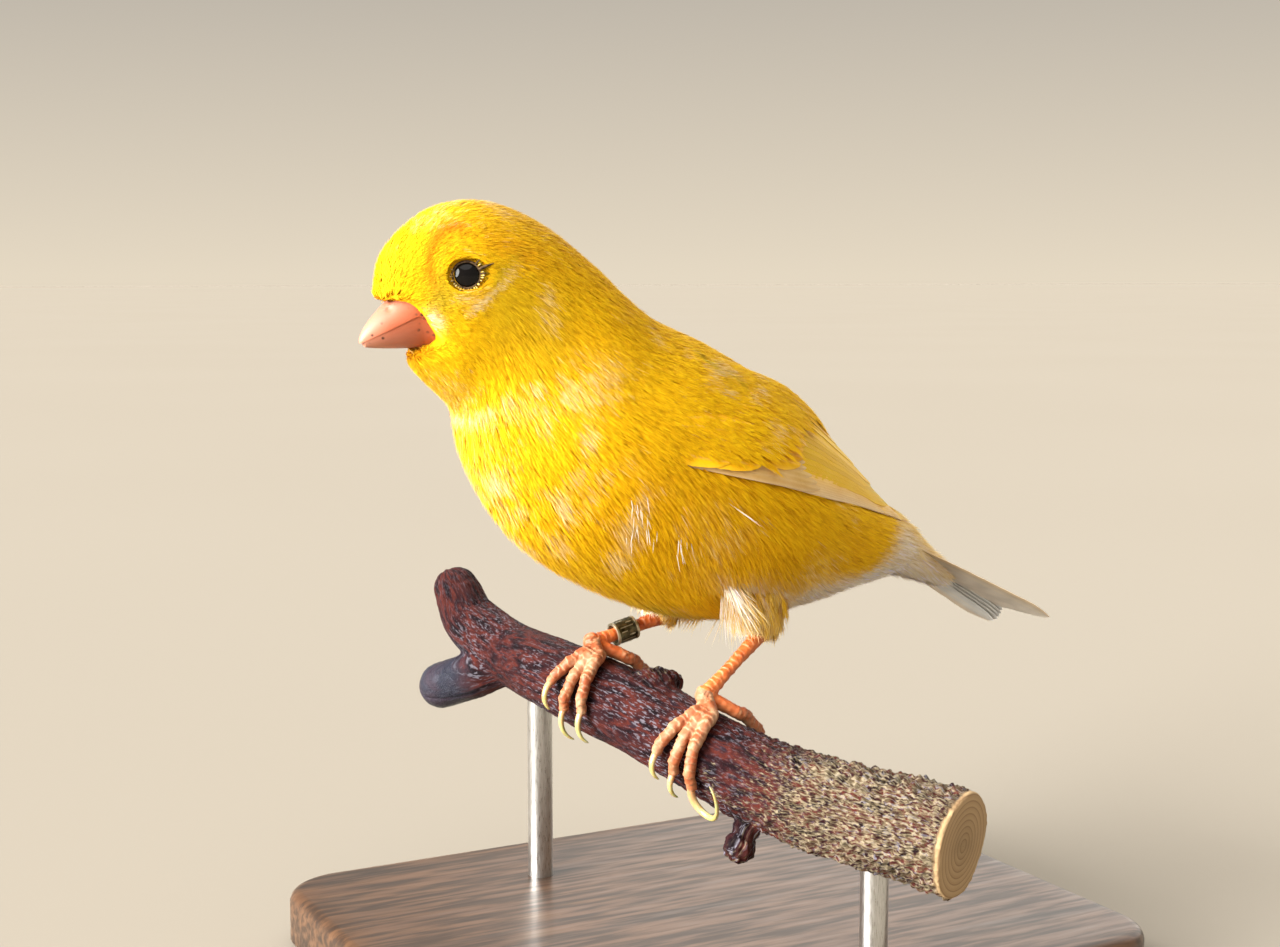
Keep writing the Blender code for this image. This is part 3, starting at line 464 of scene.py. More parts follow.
stations = np.linspace(0, len(BRANCH) - 1, BRANCH_RINGS)
angles = np.arange(BRANCH_SIDES) * 360.0 / BRANCH_SIDES
branch_rings = branch_point(*np.meshgrid(stations, angles, indexing="ij"))
knee = TWIG[0] * 0.45 + TWIG[1] * 0.55 + np.array([0.0008, 0.0, 0.0])
stub_path = [BIRD + STUB[0] + (STUB[1] - STUB[0]) * part for part in np.linspace(0, 1, len(STUB_SWELLS))]
twig_path = [BIRD + TWIG[0], BIRD + knee, BIRD + TWIG[1]]
perch = fuse("perch", [
    (list(branch_rings.reshape(-1, 3)), ring_faces(BRANCH_RINGS, BRANCH_SIDES)),
    ball(BIRD + BRANCH[0, :3] + (0.0, 0.0006, 0.0004), BRANCH[0, 3] * 0.97),
    tube(stub_path, STUB[2] * np.array(STUB_SWELLS), 24),
    ball(BIRD + STUB[1], STUB[2] * 0.99),
    tube(twig_path, TWIG[2] * np.array(TWIG_SWELLS), 18),
    ball(BIRD + TWIG[1], TWIG[2] * 1.15),
    ball(BIRD + KNOB[0], KNOB[1], (1.5, 1.0, 0.8)),
], BARK_GRAIN, plum_bark)
relax(perch, 3)

points, normals = read_points(perch)
middles, radii, axes, uprights, forwards = branch_frame(np.linspace(0, len(BRANCH) - 1, BARK_LOOKUP_STEPS))
index = nearest(middles, points)
offset = points - middles[index]
run = np.concatenate([[0], np.cumsum(np.linalg.norm(np.diff(middles, axis=0), axis=1))])[index]
run = run + (offset * axes[index]).sum(1)
turn = np.arctan2((offset * forwards[index]).sum(1), (offset * uprights[index]).sum(1))
reach = np.linalg.norm(offset - axes[index] * (offset * axes[index]).sum(1)[:, None], axis=1)
# Bark lies in long low plates, so its relief is drawn from a place unrolled from the branch.
unrolled = np.stack([run, np.cos(turn) * BARK_AROUND, np.sin(turn) * BARK_AROUND], 1)
plates = mottle(unrolled, 0.0030, 1, (3.2, 1.0, 1.0)) + 0.6 * mottle(unrolled, 0.0012, 2, (3.0, 1.0, 1.0))
cracks = np.abs(mottle(unrolled, 0.0018, 3, (6.0, 1.0, 1.0)))
grit = mottle(points, 0.0008, 4)
from_knob = np.linalg.norm((points - BIRD - KNOB[0]) / (1.5, 1.0, 1.0), axis=1)
on_knob = np.exp(-(from_knob / (KNOB[1] * 1.15)) ** 4)
crusty = np.clip((run - 0.052) / 0.035, 0, 1)
crusty = np.clip(crusty + 0.9 * on_knob * (normals[:, 2] > -0.2), 0, 1)
sawn = np.clip(1 + ((points - middles[-1]) @ axes[-1] + 0.0006) / 0.0004, 0, 1)
relief = 0.55 * plates - 1.2 * np.clip(0.10 - cracks, 0, 1) * 6 + grit * (0.25 + 0.9 * crusty)
points = points + normals * (relief * BARK_RELIEF * (1 - sawn) * (0.6 + 0.7 * crusty))[:, None]
write_points(perch, points)
rings_out = np.where(sawn > 0.5, reach * 1000 / 6.5, run * 1000 / 10)
mark(perch, "bark", rings_out, turn * 1.05, crusty + 0.25 * (plates > 0.5), sawn)
from_stub = np.linalg.norm(points - BIRD - STUB[1], axis=1) / STUB[2]
mark(perch, "stub", np.clip(2.4 - from_stub, 0, 1))
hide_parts("perch_branch")


# Two short round rods of brushed steel are let into the base, and end just inside the bark.
# They hold the perch clear of the base, and the bird with it.
ROD_RADIUS = 0.0021
RODS = {"rod_back": ("stand_rod_back", 2.6), "rod_front": ("stand_rod_front", 8.4)}
ROD_FOOT = 0.0086
# How far under the branch's middle line the last two rings of a rod lie.
ROD_HEADS = (0.0040, 0.0035)

brushed_steel, tree, shader = new_finish("brushed_steel", Metallic=1.0, Roughness=0.3)
brushed_run = {"Stretch": (6.0, 6.0, 0.4), "Size": 300.0, "Sharpness": 1.5}
grain = use_group(tree, long_grain, Place=own_place(tree), **brushed_run)
steel_colour = shades(tree, grain["Lines"], (0.2, (0.50, 0.49, 0.47)), (0.6, (0.70, 0.69, 0.67)))
steel_gloss = over_base(tree, 0.20, grain["Lines"], 0.35)
colour_it(tree, shader, steel_colour, steel_gloss, grain["Lines"], 0.15, 0.00005)

for name, (node, station) in RODS.items():
    middle = branch_frame(station)[0]
    heights = [ROD_FOOT, *(middle[2] - depth for depth in ROD_HEADS)]
    rod_path = [(middle[0], middle[1], height) for height in heights]
    rod = make_piece(name, *tube(rod_path, [ROD_RADIUS] * 3, 40), brushed_steel, 50)
    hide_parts(node)


# The legs and toes are bare, in orange-pink skin with rings of pale-edged scutes in front and soft pads
# under the toes. Each foot has one toe behind and three in front, curled round the bark.
LEGS = {
    "left": (-1, np.array([0.0148, -0.0100, -0.0288]), np.array([0.0033, -0.0120, -0.0374]), 6.0),
    "right": (1, np.array([0.0070, 0.0086, -0.0286]), np.array([-0.0060, 0.0084, -0.0318]), 4.0),
}
TARSUS_RADIUS = 0.0011
TOE_RADIUS = 0.00095
KNUCKLE_RADIUS = 0.00162
# The shank's thickness beside its radius, at parts of its length from the heel.
TARSUS_SWELLS = ((0, 0.12, 0.35, 0.7, 0.92, 1), (1.3, 1.1, 0.92, 0.92, 1.15, 1.25))
SHANK_RINGS = 26
TOE_RINGS = 24
TOE_STARTS = (18.0, -22.0)
# How far a toe's skin stands off the bark, and swells at its joints.
TOE_CLEARANCE = 0.00030
TOE_SWELL = 0.00025
# Each toe, the hind one first: shift along the branch, wrap angle, and its claw's curl radius and turn.
TOES = {
    "left": (
        (0.0062, -96.0, 0.0075, 50.0), (-0.0040, 88.0, 0.0050, 46.0),
        (-0.0004, 102.0, 0.0050, 44.0), (0.0032, 110.0, 0.0030, 250.0),
    ),
    "right": (
        (0.0066, -94.0, 0.0070, 50.0), (-0.0042, 74.0, 0.0058, 42.0),
        (-0.0006, 100.0, 0.0050, 58.0), (0.0032, 92.0, 0.0050, 56.0),
    ),
}
SCUTE_LENGTH = 0.00105
SCUTE_RISE = 0.00013
# Where in its length a scute stands highest, and the size of the pads under the toes.
SCUTE_CREST = 0.82
PAD_LENGTH = 0.0016
PAD_RISE = 0.00012
SKIN_LATTICE = 0.00015
SAMPLES_PER_RING = 5
# The samples past the shank over which its colour turns into the toes'.
COLOUR_TURN = 14


def toe_path(name, toe):
    """The middle line of a toe from its knuckle round the bark to where its claw starts."""
    _, _, knuckle, station = LEGS[name]
    shift, wrap, _, _ = TOES[name][toe]
    first = TOE_STARTS[wrap < 0]
    part = np.linspace(0, 1, TOE_RINGS)
    swell = TOE_SWELL * np.sin(part * math.pi * 3) ** 2
    lift = TOE_RADIUS * (1.0 - 0.15 * part) + TOE_CLEARANCE + swell
    angle = first + (wrap - first) * part
    way = branch_point(np.full(TOE_RINGS, station), angle, lift, shift * (0.3 + 0.7 * part))
    return np.concatenate([[BIRD + knuckle], way])


def at_steps(path, steps):
    """Points on a path, at steps counted from its first point."""
    return np.stack([np.interp(steps, np.arange(len(path)), path[:, k]) for k in range(3)], 1)


orange_skin, tree, shader = new_finish(
    "orange_skin", Roughness=0.5, Subsurface_Weight=0.12, Subsurface_Scale=0.0008, Specular_IOR_Level=0.45
)
scute_edge, scute_pad, on_toe, _ = read_mark(tree, "scutes")
blotch = cloud(tree, 420.0, 4.0)
shank_colour = shades(
    tree, blotch, (0.34, (0.50, 0.090, 0.016)), (0.52, (0.63, 0.140, 0.026)), (0.68, (0.67, 0.19, 0.045))
)
toe_colour = shades(
    tree, blotch, (0.34, (0.34, 0.082, 0.026)), (0.50, (0.39, 0.135, 0.055)), (0.66, (0.44, 0.24, 0.13))
)
leg_colour = blend(tree, on_toe, shank_colour, toe_colour)
leg_colour = tint(tree, scute_edge, 0.38, leg_colour, (0.68, 0.46, 0.27))
leg_colour = tint(tree, scute_pad, 0.4, leg_colour, (0.66, 0.38, 0.22))
dry_flakes = cloud(tree, 1900.0, 2.0)
colour_it(tree, shader, leg_colour, over_base(tree, 0.36, blotch, 0.3), dry_flakes, 0.35, 0.0001)

for name, (side, heel, knuckle, station) in LEGS.items():
    shank_parts = np.linspace(0, 1, SHANK_RINGS)
    shank = BIRD + heel + (knuckle - heel) * shank_parts[:, None]
    parts = [
        tube(shank, TARSUS_RADIUS * np.interp(shank_parts, *TARSUS_SWELLS), 24),
        ball(BIRD + heel, TARSUS_RADIUS * 1.32), ball(BIRD + knuckle, KNUCKLE_RADIUS),
    ]
    lines = [(shank, np.broadcast_to(unit(np.array([-1.0, 0.0, 0.25])), shank.shape))]
    for toe in range(4):
        way = toe_path(name, toe)
        part = np.linspace(0, 1, len(way))
        sizes = TOE_RADIUS * (1.08 - 0.26 * part) * (1 + 0.10 * np.sin(part * math.pi * 3.2) ** 2)
        parts += [tube(way, sizes, 20), ball(way[-1], sizes[-1] * 1.02)]
        lines.append((way, unit(way - branch_frame(np.full(len(way), station))[0])))
    leg = fuse("leg_" + name + "_skin", parts, SKIN_LATTICE, orange_skin)
    relax(leg, 2)

    points, normals = read_points(leg)
    centre, dorsal, run = [], [], []
    for way, outward in lines:
        steps = np.linspace(0, len(way) - 1, len(way) * SAMPLES_PER_RING)
        centre.append(at_steps(way, steps))
        dorsal.append(outward[np.round(steps).astype(int)])
        lengths = np.concatenate([[0], np.cumsum(np.linalg.norm(np.diff(centre[-1], axis=0), axis=1))])
        run.append(lengths + 0.0003 * len(run))
    centre, dorsal, run = (np.concatenate(rows) for rows in (centre, dorsal, run))
    index = nearest(centre, points)
    outward = unit(points - centre[index])
    facing = (outward * dorsal[index]).sum(1)
    top = np.clip(facing * 1.4 + 0.5, 0, 1)
    uneven = mottle(points, 0.0010, 9)
    place = run[index] / SCUTE_LENGTH + 0.10 * facing + 0.42 * uneven
    step = place - np.floor(place)
    plate = np.where(step < SCUTE_CREST, step / SCUTE_CREST, (1 - step) / (1 - SCUTE_CREST))
    pads = np.clip(-facing, 0, 1) * (0.5 + 0.5 * np.sin(run[index] / PAD_LENGTH * 2 * math.pi))
    lumps = 0.00009 * mottle(points, 0.0007, 10)
    relief = SCUTE_RISE * (plate - 0.4) * top * (1 + uneven) + PAD_RISE * pads + lumps
    write_points(leg, points + normals * relief[:, None])
    edge = np.clip(1 - np.abs(step - 0.86) / 0.15, 0, 1) * top
    toe_share = np.clip((index - SHANK_RINGS * SAMPLES_PER_RING) / COLOUR_TURN, 0, 1)
    mark(leg, "scutes", edge, np.clip(-facing, 0, 1), toe_share)
    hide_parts("leg_" + name)


# The claws are long and clear, of thin yellowish horn over a paler quick. A caged bird wears them little,
# so the outer front claw of the near foot has grown into a loop.
CLAW_STEPS = 30
CLAW_SIDES = 14
# How far a claw's middle line starts over the bark, and arches from it.
CLAW_START = 0.00045
CLAW_ARCH = 0.0013


def claw_path(name, toe):
    """The middle line of a claw: on from its toe round the bark, curling along the branch as it goes."""
    station = LEGS[name][3]
    shift, wrap, radius, turn = TOES[name][toe]
    part = np.linspace(0, 1, CLAW_STEPS)
    curl = math.radians(turn) * part
    down = TOE_RADIUS * 0.35 + radius * np.sin(curl)
    lift = TOE_RADIUS * 0.85 + CLAW_START + CLAW_ARCH * np.sin(part * math.pi * 0.75)
    reach = along(BRANCH, station)[3] + 0.0012
    angle = wrap + math.copysign(1, wrap) * np.degrees(down / reach)
    return branch_point(np.full(CLAW_STEPS, station), angle, lift, shift + radius * (1 - np.cos(curl)))


clear_horn, tree, shader = new_finish(
    "clear_horn", Roughness=0.28, Subsurface_Weight=0.5, Subsurface_Scale=0.0006, Coat_Weight=0.4,
    Coat_Roughness=0.15,
)
claw_run = read_mark(tree, "claw")[0]
claw_colour = shades(
    tree, claw_run,
    (0.0, (0.60, 0.26, 0.12)), (0.20, (0.50, 0.36, 0.15)), (0.6, (0.42, 0.38, 0.13)),
    (1.0, (0.34, 0.31, 0.11)),
)
waves = {"Vector": own_place(tree), "Scale": 260.0, "Distortion": 5.0, "Detail": 3.0}
growth = add_node(tree, "TexWave", waves).outputs["Fac"]
claw_colour = tint(tree, growth, 0.18, claw_colour, (0.62, 0.56, 0.34))
colour_it(tree, shader, claw_colour, None, growth, 0.15, 0.00005)

for name in LEGS:
    points, faces, runs = [], [], []
    for toe in range(4):
        part = np.linspace(0, 1, CLAW_STEPS)
        sizes = TOE_RADIUS * (0.62 * (1 - part) ** 0.50 + 0.06)
        add_part(points, faces, tube(claw_path(name, toe), sizes, CLAW_SIDES, 0.82))
        runs += list(np.repeat(part, CLAW_SIDES))
    claws = make_piece("claws_" + name, points, faces, clear_horn, 60)
    mark(claws, "claw", runs)
    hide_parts(*[f"claw_{name}_{toe}" for toe in range(1, 5)])


# The leg ring is a closed metal band, slid on when the bird was a chick. It is tarnished dark between
# its bright rims, with plain short strokes raised on it in place of any text.
RING_PLACE = 0.56
RING_HEIGHT = 0.0040
RING_INNER = 0.00150
RING_OUTER = 0.00195
RING_SIDES = 72
STROKES = 16
STROKE_SPANS = ((-0.0011, -0.0001), (0.0002, 0.0012), (-0.0011, 0.0012))
STROKE_TURN = 0.045
# Each rim's height, its worn corner's height and depth, and how deep the wall between the rims lies.
RIM_HEIGHT = 0.00035
RIM_CORNER = (0.00010, 0.00006)
WALL_DEPTH = 0.00009
WALL_SLOPE = 0.00013

tarnished_metal, tree, shader = new_finish("tarnished_metal", Roughness=0.35, Metallic=0.9)
ring_raised = read_mark(tree, "band")[0]
tarnish = cloud(tree, 1500.0, 4.0)
dull = shades(tree, tarnish, (0.35, (0.045, 0.040, 0.022)), (0.65, (0.150, 0.130, 0.065)))
bright = shades(tree, tarnish, (0.30, (0.42, 0.36, 0.20)), (0.70, (0.68, 0.64, 0.50)))
ring_gloss = over_base(tree, 0.24, tarnish, 0.3)
colour_it(tree, shader, blend(tree, ring_raised, dull, bright), ring_gloss, tarnish, 0.2, 0.00004)

_, heel, knuckle, _ = LEGS["right"]
ring_axis = unit(knuckle - heel)
ring_centre = BIRD + heel + (knuckle - heel) * RING_PLACE
ring_across = unit(np.cross(ring_axis, (0.0, 1.0, 0.0)))
ring_along = np.cross(ring_axis, ring_across)


def ring_point(radius, turn, level):
    """A point of the band: so far out, round and along the shank."""
    outward = ring_across * math.cos(turn) + ring_along * math.sin(turn)
    return ring_centre + outward * radius + ring_axis * level


# The band's section, round from its inner wall: radius, level and how bright it is rubbed.
half = RING_HEIGHT / 2
upper_section = (
    (RING_INNER, half - RIM_CORNER[0], 0.6), (RING_INNER + RIM_CORNER[1], half, 1.0),
    (RING_OUTER - RIM_CORNER[1], half, 1.0), (RING_OUTER, half - RIM_CORNER[0], 1.0),
    (RING_OUTER, half - RIM_HEIGHT, 0.9), (RING_OUTER - WALL_DEPTH, half - RIM_HEIGHT - WALL_SLOPE, 0.0),
)
lower_section = [(radius, -level, rubbed) for radius, level, rubbed in reversed(upper_section)]
band_section = (
    lower_section[-1], *upper_section, (RING_OUTER - WALL_DEPTH, 0.0, 0.0), *lower_section[:-1],
)
points, raised = [], []
for radius, level, rubbed in band_section:
    points += [ring_point(radius, 2 * math.pi * k / RING_SIDES, level) for k in range(RING_SIDES)]
    raised += [rubbed] * RING_SIDES
faces = ring_faces(len(band_section), RING_SIDES, looped=True)
for k in range(STROKES):
    turn = 2 * math.pi * (k + 0.5) / STROKES
    first = len(points)
    for radius in (RING_OUTER - 0.00012, RING_OUTER - 0.00001):
        for level in STROKE_SPANS[k % len(STROKE_SPANS)]:
            points += [ring_point(radius, turn + width, level) for width in (-STROKE_TURN, STROKE_TURN)]
            raised += [0.9] * 2
    for face in ((0, 1, 3, 2), (4, 6, 7, 5), (0, 4, 5, 1), (2, 3, 7, 6), (0, 2, 6, 4), (1, 5, 7, 3)):
        faces.append(tuple(first + corner for corner in face))
leg_band = make_piece("leg_band", points, faces, tarnished_metal, 35)
mark(leg_band, "band", raised)
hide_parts("leg_ring")


# The skin is one closed surface under the plumage, from the bill's base to the tail's root, with both
# thighs. It lies inside the outline by the plumage's depth, and carries the same markings.
# The body from the bill back: x and z of the ridge, x and z of the keel, half width.
BODY = np.array([
    (-0.0456, 0.0244, -0.0410, 0.0156, 0.0030), (-0.0437, 0.0312, -0.0384, 0.0126, 0.0053),
    (-0.0368, 0.0370, -0.0349, 0.0094, 0.0089), (-0.0286, 0.0383, -0.0328, 0.0070, 0.0104),
    (-0.0200, 0.0354, -0.0319, 0.0040, 0.0116), (-0.0117, 0.0295, -0.0306, -0.0010, 0.0138),
    (-0.0024, 0.0216, -0.0270, -0.0074, 0.0174), (0.0088, 0.0165, -0.0203, -0.0151, 0.0199),
    (0.0200, 0.0098, -0.0086, -0.0220, 0.0206), (0.0300, 0.0010, 0.0060, -0.0268, 0.0186),
    (0.0395, -0.0074, 0.0210, -0.0268, 0.0134), (0.0485, -0.0144, 0.0370, -0.0240, 0.0076),
])
BODY_END = 11.0
SKIN_VOXEL = 0.0009
SKIN_RINGS = 110
THIGH_RADII = (0.0062, 0.0060, 0.0053, 0.0042, 0.0032, 0.0024)
THIGH_TAPER = (0.80, 0.80, 0.78, 0.72, 0.62, 0.50)
# The thigh's upper end: back from the heel, out to its side, and height.
THIGH_TOP = (-0.0020, 0.0098, -0.0170)
THIGH_STEPS = np.array([0.0, 0.3, 0.6, 0.85, 1.0])[:, None]
# The plumage's depth by station, and the length of its feathers on the back, the sides and the belly.
COAT = np.array([
    (0.00045, 0.0011, 0.0012, 0.0013), (0.0006, 0.0018, 0.0018, 0.0024), (0.0007, 0.0024, 0.0024, 0.0031),
    (0.0009, 0.0031, 0.0032, 0.0036), (0.0010, 0.0038, 0.0040, 0.0040), (0.0011, 0.0043, 0.0045, 0.0045),
    (0.0013, 0.0048, 0.0050, 0.0049), (0.0013, 0.0052, 0.0056, 0.0055), (0.0013, 0.0054, 0.0060, 0.0060),
    (0.0013, 0.0056, 0.0060, 0.0060), (0.0012, 0.0058, 0.0060, 0.0062), (0.0011, 0.0060, 0.0060, 0.0064),
])
BILL_TIP = BIRD + np.array([-0.0478, 0.0, 0.0176])
BILL_PITCH = math.radians(20)
BILL_BACK = np.array([math.cos(BILL_PITCH), 0.0, math.sin(BILL_PITCH)])
BILL_ABOVE = np.array([-math.sin(BILL_PITCH), 0.0, math.cos(BILL_PITCH)])
# Where the face's feathers end round the bill: height over its axis, and distance back from the tip.
FEATHER_LINE = np.array([
    (-0.0062, 0.0040), (-0.0050, 0.0050), (-0.0046, 0.0070), (-0.0042, 0.0094), (-0.0034, 0.0100),
    (-0.0014, 0.0092), (0.0016, 0.0085), (0.0037, 0.0076), (0.0048, 0.0062), (0.0052, 0.0046),
    (0.0070, 0.0030),
])
# The eye's place on the body, and millimetres to a station and to a degree beside it.
EYE_STATION = 2.05
EYE_ANGLE = 66.0
FACE_SCALE = (8.5, 0.17)
# The stations of the collar and the crescent at turns down from the ridge, and the turn down of the ear
# patch's edge at stations.
COLLAR = ((60, 80, 94, 107, 120, 133, 152, 180), (5.85, 5.48, 5.28, 4.93, 4.53, 4.2, 3.68, 3.22))
CRESCENT = ((100, 106, 114, 131, 140), (5.80, 5.90, 6.05, 6.22, 6.30))
EAR_EDGE = ((2.2, 2.53, 3.03, 3.53, 3.9), (92, 84, 73, 55, 46))
# Soft spots: the strength, the station and its reach, and the turn down and its reach.
FROSTED_SPOTS = (
    (1.0, 5.35, 0.5, 176, 20), (1.0, 6.08, 0.22, 163, 10), (0.8, 7.95, 0.28, 100, 6),
    (1.3, 9.2, 0.55, 122, 7), (1.0, 9.5, 0.3, 101, 10), (0.35, 4.9, 0.9, 180, 40),
)
CHEEK_SPOTS = ((0.8, 2.3, 0.30, 84, 5), (0.6, 4.15, 0.16, 69, 5), (0.6, 4.2, 0.2, 79, 5))
# The second amber spot is painted shade on the side of the neck.
AMBER_SPOTS = ((0.14, 9.95, 0.38, 84, 13), (0.06, 4.6, 0.8, 85, 30))
STREAKS = ((0.9, 6.72, 0.07, 37, 7), (0.63, 6.98, 0.05, 40, 6))
# The lores before the eye, painted dark olive as painted shade.
LORES_SHADE = (0.85, 1.62, 0.34, 83, 12)
SWEEP = (0.60, 9.15, 0.6, 121, 7)


def on_body(station, angle, lift=0.0):
    """Points of the body's outline: angle 0 is the ridge of the back, 180 the keel, and above 0 the left."""
    ridge_x, ridge_z, keel_x, keel_z, half_width = np.moveaxis(along(BODY, station), -1, 0)
    turn = np.radians(angle)
    upright_x, upright_z = (ridge_x - keel_x) / 2, (ridge_z - keel_z) / 2
    reach = (1 + lift / np.hypot(upright_x, upright_z)) * np.cos(turn)
    across = -(half_width + lift) * np.sin(turn)
    x, z = (ridge_x + keel_x) / 2 + upright_x * reach, (ridge_z + keel_z) / 2 + upright_z * reach
    return np.stack([x, across + 0 * x, z], -1) + BIRD


def body_frame(station, angle):
    """The point, the way back along the body, the way round it, and the outward normal."""
    point = on_body(station, angle)
    back = (on_body(station + 0.03, angle) - on_body(station - 0.03, angle)) / 0.06
    round_it = on_body(station, angle + 0.5) - on_body(station, angle - 0.5)
    normal = unit(np.cross(round_it, back))
    outward = on_body(station, angle, 0.001) - point
    normal = normal * np.sign((normal * outward).sum(-1, keepdims=True))
    return point, back, round_it, normal


def in_bill_frame(points):
    """How far points lie back from the bill's tip, and over its axis."""
    offset = points - BILL_TIP
    return offset @ BILL_BACK, offset @ BILL_ABOVE


def feather_line(above):
    """How far back from the bill's tip the face's feathers end, at heights over its axis."""
    return np.interp(above, *FEATHER_LINE.T)


def behind_bill(points, spare):
    """Points, with those in front of the face's feather line set back to it."""
    back, above = in_bill_frame(points)
    return points + BILL_BACK * np.maximum(feather_line(above) + spare - back, 0)[..., None]


def near(value, middle, width):
    """A soft peak, 1 at the middle."""
    return np.exp(-(((value - middle) / width) ** 2))


def rising(value, start, end):
    """A soft step from 0 at the start to 1 at the end."""
    part = np.clip((value - start) / (end - start), 0, 1)
    return part * part * (3 - 2 * part)


def spots(station, down, *rows):
    """Soft spots added up."""
    return sum(row[0] * near(station, row[1], row[2]) * near(down, row[3], row[4]) for row in rows)


def markings(station, angle, points):
    """How pale, amber, olive and white the plumage is at places on the body."""
    down = np.abs((angle + 180) % 360 - 180)
    soft, small = mottle(points, 0.0045, 5), mottle(points, 0.0018, 6)
    broken = np.clip(0.62 + 1.1 * small + 0.5 * soft, 0, 1)
    behind_eye, under_eye = (station - EYE_STATION) * FACE_SCALE[0], (down - EYE_ANGLE) * FACE_SCALE[1]
    from_eye, below_eye = np.hypot(behind_eye, under_eye), np.degrees(np.arctan2(under_eye, behind_eye))
    ear_edge = np.interp(station, *EAR_EDGE)

    collar = near(station, np.interp(down, *COLLAR), 0.24 + 0.10 * near(down, 95, 30))
    collar = collar * rising(down, 62, 88) * broken
    crescent = near(station, np.interp(down, *CRESCENT), 0.09)
    crescent = crescent * rising(down, 97, 106) * rising(down, 142, 132) * broken
    frosted = rising(station, 4.6, 5.4) * rising(station, 9.2, 7.8) * rising(down, 92, 120)
    frosted = frosted * rising(soft, 0.08, 0.45) + spots(station, down, *FROSTED_SPOTS)
    mantle = rising(station, 5.2, 6.0) * rising(down, 75, 50) * rising(soft + 0.5 * small, 0.15, 0.45)
    cheek = near(down, ear_edge + 2, 3) * rising(station, 2.0, 2.4) * rising(station, 3.6, 3.0)
    cheek += spots(station, down, *CHEEK_SPOTS)
    forehead = near(down, 16, 16) * near(station, 2.5, 1.0) * rising(soft + 0.5 * small, -0.1, 0.3)
    throat = near(station, 2.3, 1.2) * rising(down, 125, 165)
    pale = 0.9 * collar + 0.8 * crescent + 0.70 * frosted * broken + 0.45 * mantle + 0.7 * cheek
    pale += 0.5 * forehead + 0.30 * throat + spots(station, down, (0.22, 3.3, 1.1, 0, 34))

    above_eye = np.clip(rising(-below_eye, 40, 75) + near(below_eye, 180, 30), 0, 1)
    brow = near(from_eye, 4.6, 1.0) * above_eye * rising(station, 3.2, 2.6)
    brow += 0.3 * near(down, 52, 8) * rising(station, 2.4, 2.9) * rising(station, 4.2, 3.6)
    # Amber on the flanks and, through the second amber spot, on the neck's side is painted shade: the deeper
    # orange of plumage in shade.
    flank = near(down, 112, 34) * rising(station, 5.8, 7.0) * rising(station, 9.8, 8.6)
    amber = 0.95 * brow + 0.20 * flank + spots(station, down, *AMBER_SPOTS) + 0.06 * soft

    # The ear mask paints olive over the side of the head as painted shade, with a darker line along the ear
    # patch's edge.
    ear = rising(station, 2.3, 3.0) * rising(station, 5.2, 4.4) * near(down, 84, 24)
    ear += 0.9 * near(down, ear_edge - 5, 3) * rising(station, 2.5, 2.9) * rising(station, 3.8, 3.3)
    # Olive under the belly is painted shade.
    belly = rising(station, 7.8, 8.7) * rising(station, 9.9, 9.2) * rising(down, 150, 166)
    # Olive on the lores is painted shade.
    olive = spots(station - (down - 36) * 0.035, down, *STREAKS) + spots(station, down, LORES_SHADE)
    # Olive in a ring round the eye is painted shade of the hollow it lies in.
    olive += 0.6 * belly + 0.35 * near(from_eye, 2.3, 0.7) + 0.36 * ear

    gape = near(station, 1.38, 0.16) * near(down, 99, 8) * rising(small, -0.5, 0.1)
    vent = rising(station, 9.35, 9.9) * rising(down, 96, 122)
    vent += rising(station, 10.35, 10.9) * rising(down, 30, 60)
    white = 0.6 * gape + 0.85 * vent + spots(station, down, SWEEP) * broken
    return [np.clip(share, 0, 1) for share in (pale, amber, olive, white)]


def on_map(station, angle):
    """Places on the plumage's flat map."""
    return np.stack([station / BODY_END, (angle + 180) / 360], 1)


def write_map(mesh, places):
    """The flat map that a finish is baked on, with a place for each corner of each face."""
    layer = mesh.uv_layers.new(name="OFBake")
    layer.data.foreach_set("uv", places.astype(np.float32).ravel())


# The colour of the plumage, shared by skin, body feathers and wing coverts.
canary_yellow, given, wanted = new_group(
    "canary_yellow",
    {"Pale": 0.0, "Amber": 0.0, "Olive": 0.0, "White": 0.0, "Tip": 0.5, "Chance": 0.5, "Strand": 0.5},
    {"Colour": "Color"},
)
# The feathers' roots are a deeper orange than their tips: partly their own colour, partly painted shade for
# the orange deep in the plumage.
yolk = blend(canary_yellow, given["Tip"], (0.85, 0.39, 0.002), (0.93, 0.58, 0.004))
strand_tone = shades(
    canary_yellow, given["Strand"],
    (0.0, (0.70, 0.57, 0.38)), (0.22, 0.95), (0.7, 1.0), (1.0, (1.05, 1.12, 2.0)),
)
feather_tone = shades(
    canary_yellow, given["Chance"],
    (0.0, (0.72, 0.60, 0.38)), (0.14, (0.91, 0.85, 0.74)), (0.40, (1.0, 0.99, 0.97)),
    (1.0, (1.09, 1.18, 1.5)),
)
yolk = blend(canary_yellow, 0.8, yolk, feather_tone, "MULTIPLY")
yolk = blend(canary_yellow, given["Amber"], yolk, (0.84, 0.27, 0.002))
yolk = blend(canary_yellow, given["Olive"], yolk, (0.52, 0.37, 0.012))
tip_share = figure(canary_yellow, "POWER", given["Tip"], 1.4)
frost = tint(canary_yellow, given["Pale"], tip_share, yolk, (0.92, 0.72, 0.36))
clean = tint(canary_yellow, given["White"], 0.92, frost, (0.88, 0.84, 0.72))
canary_yellow.links.new(blend(canary_yellow, 0.85, clean, strand_tone, "MULTIPLY"), wanted["Colour"])

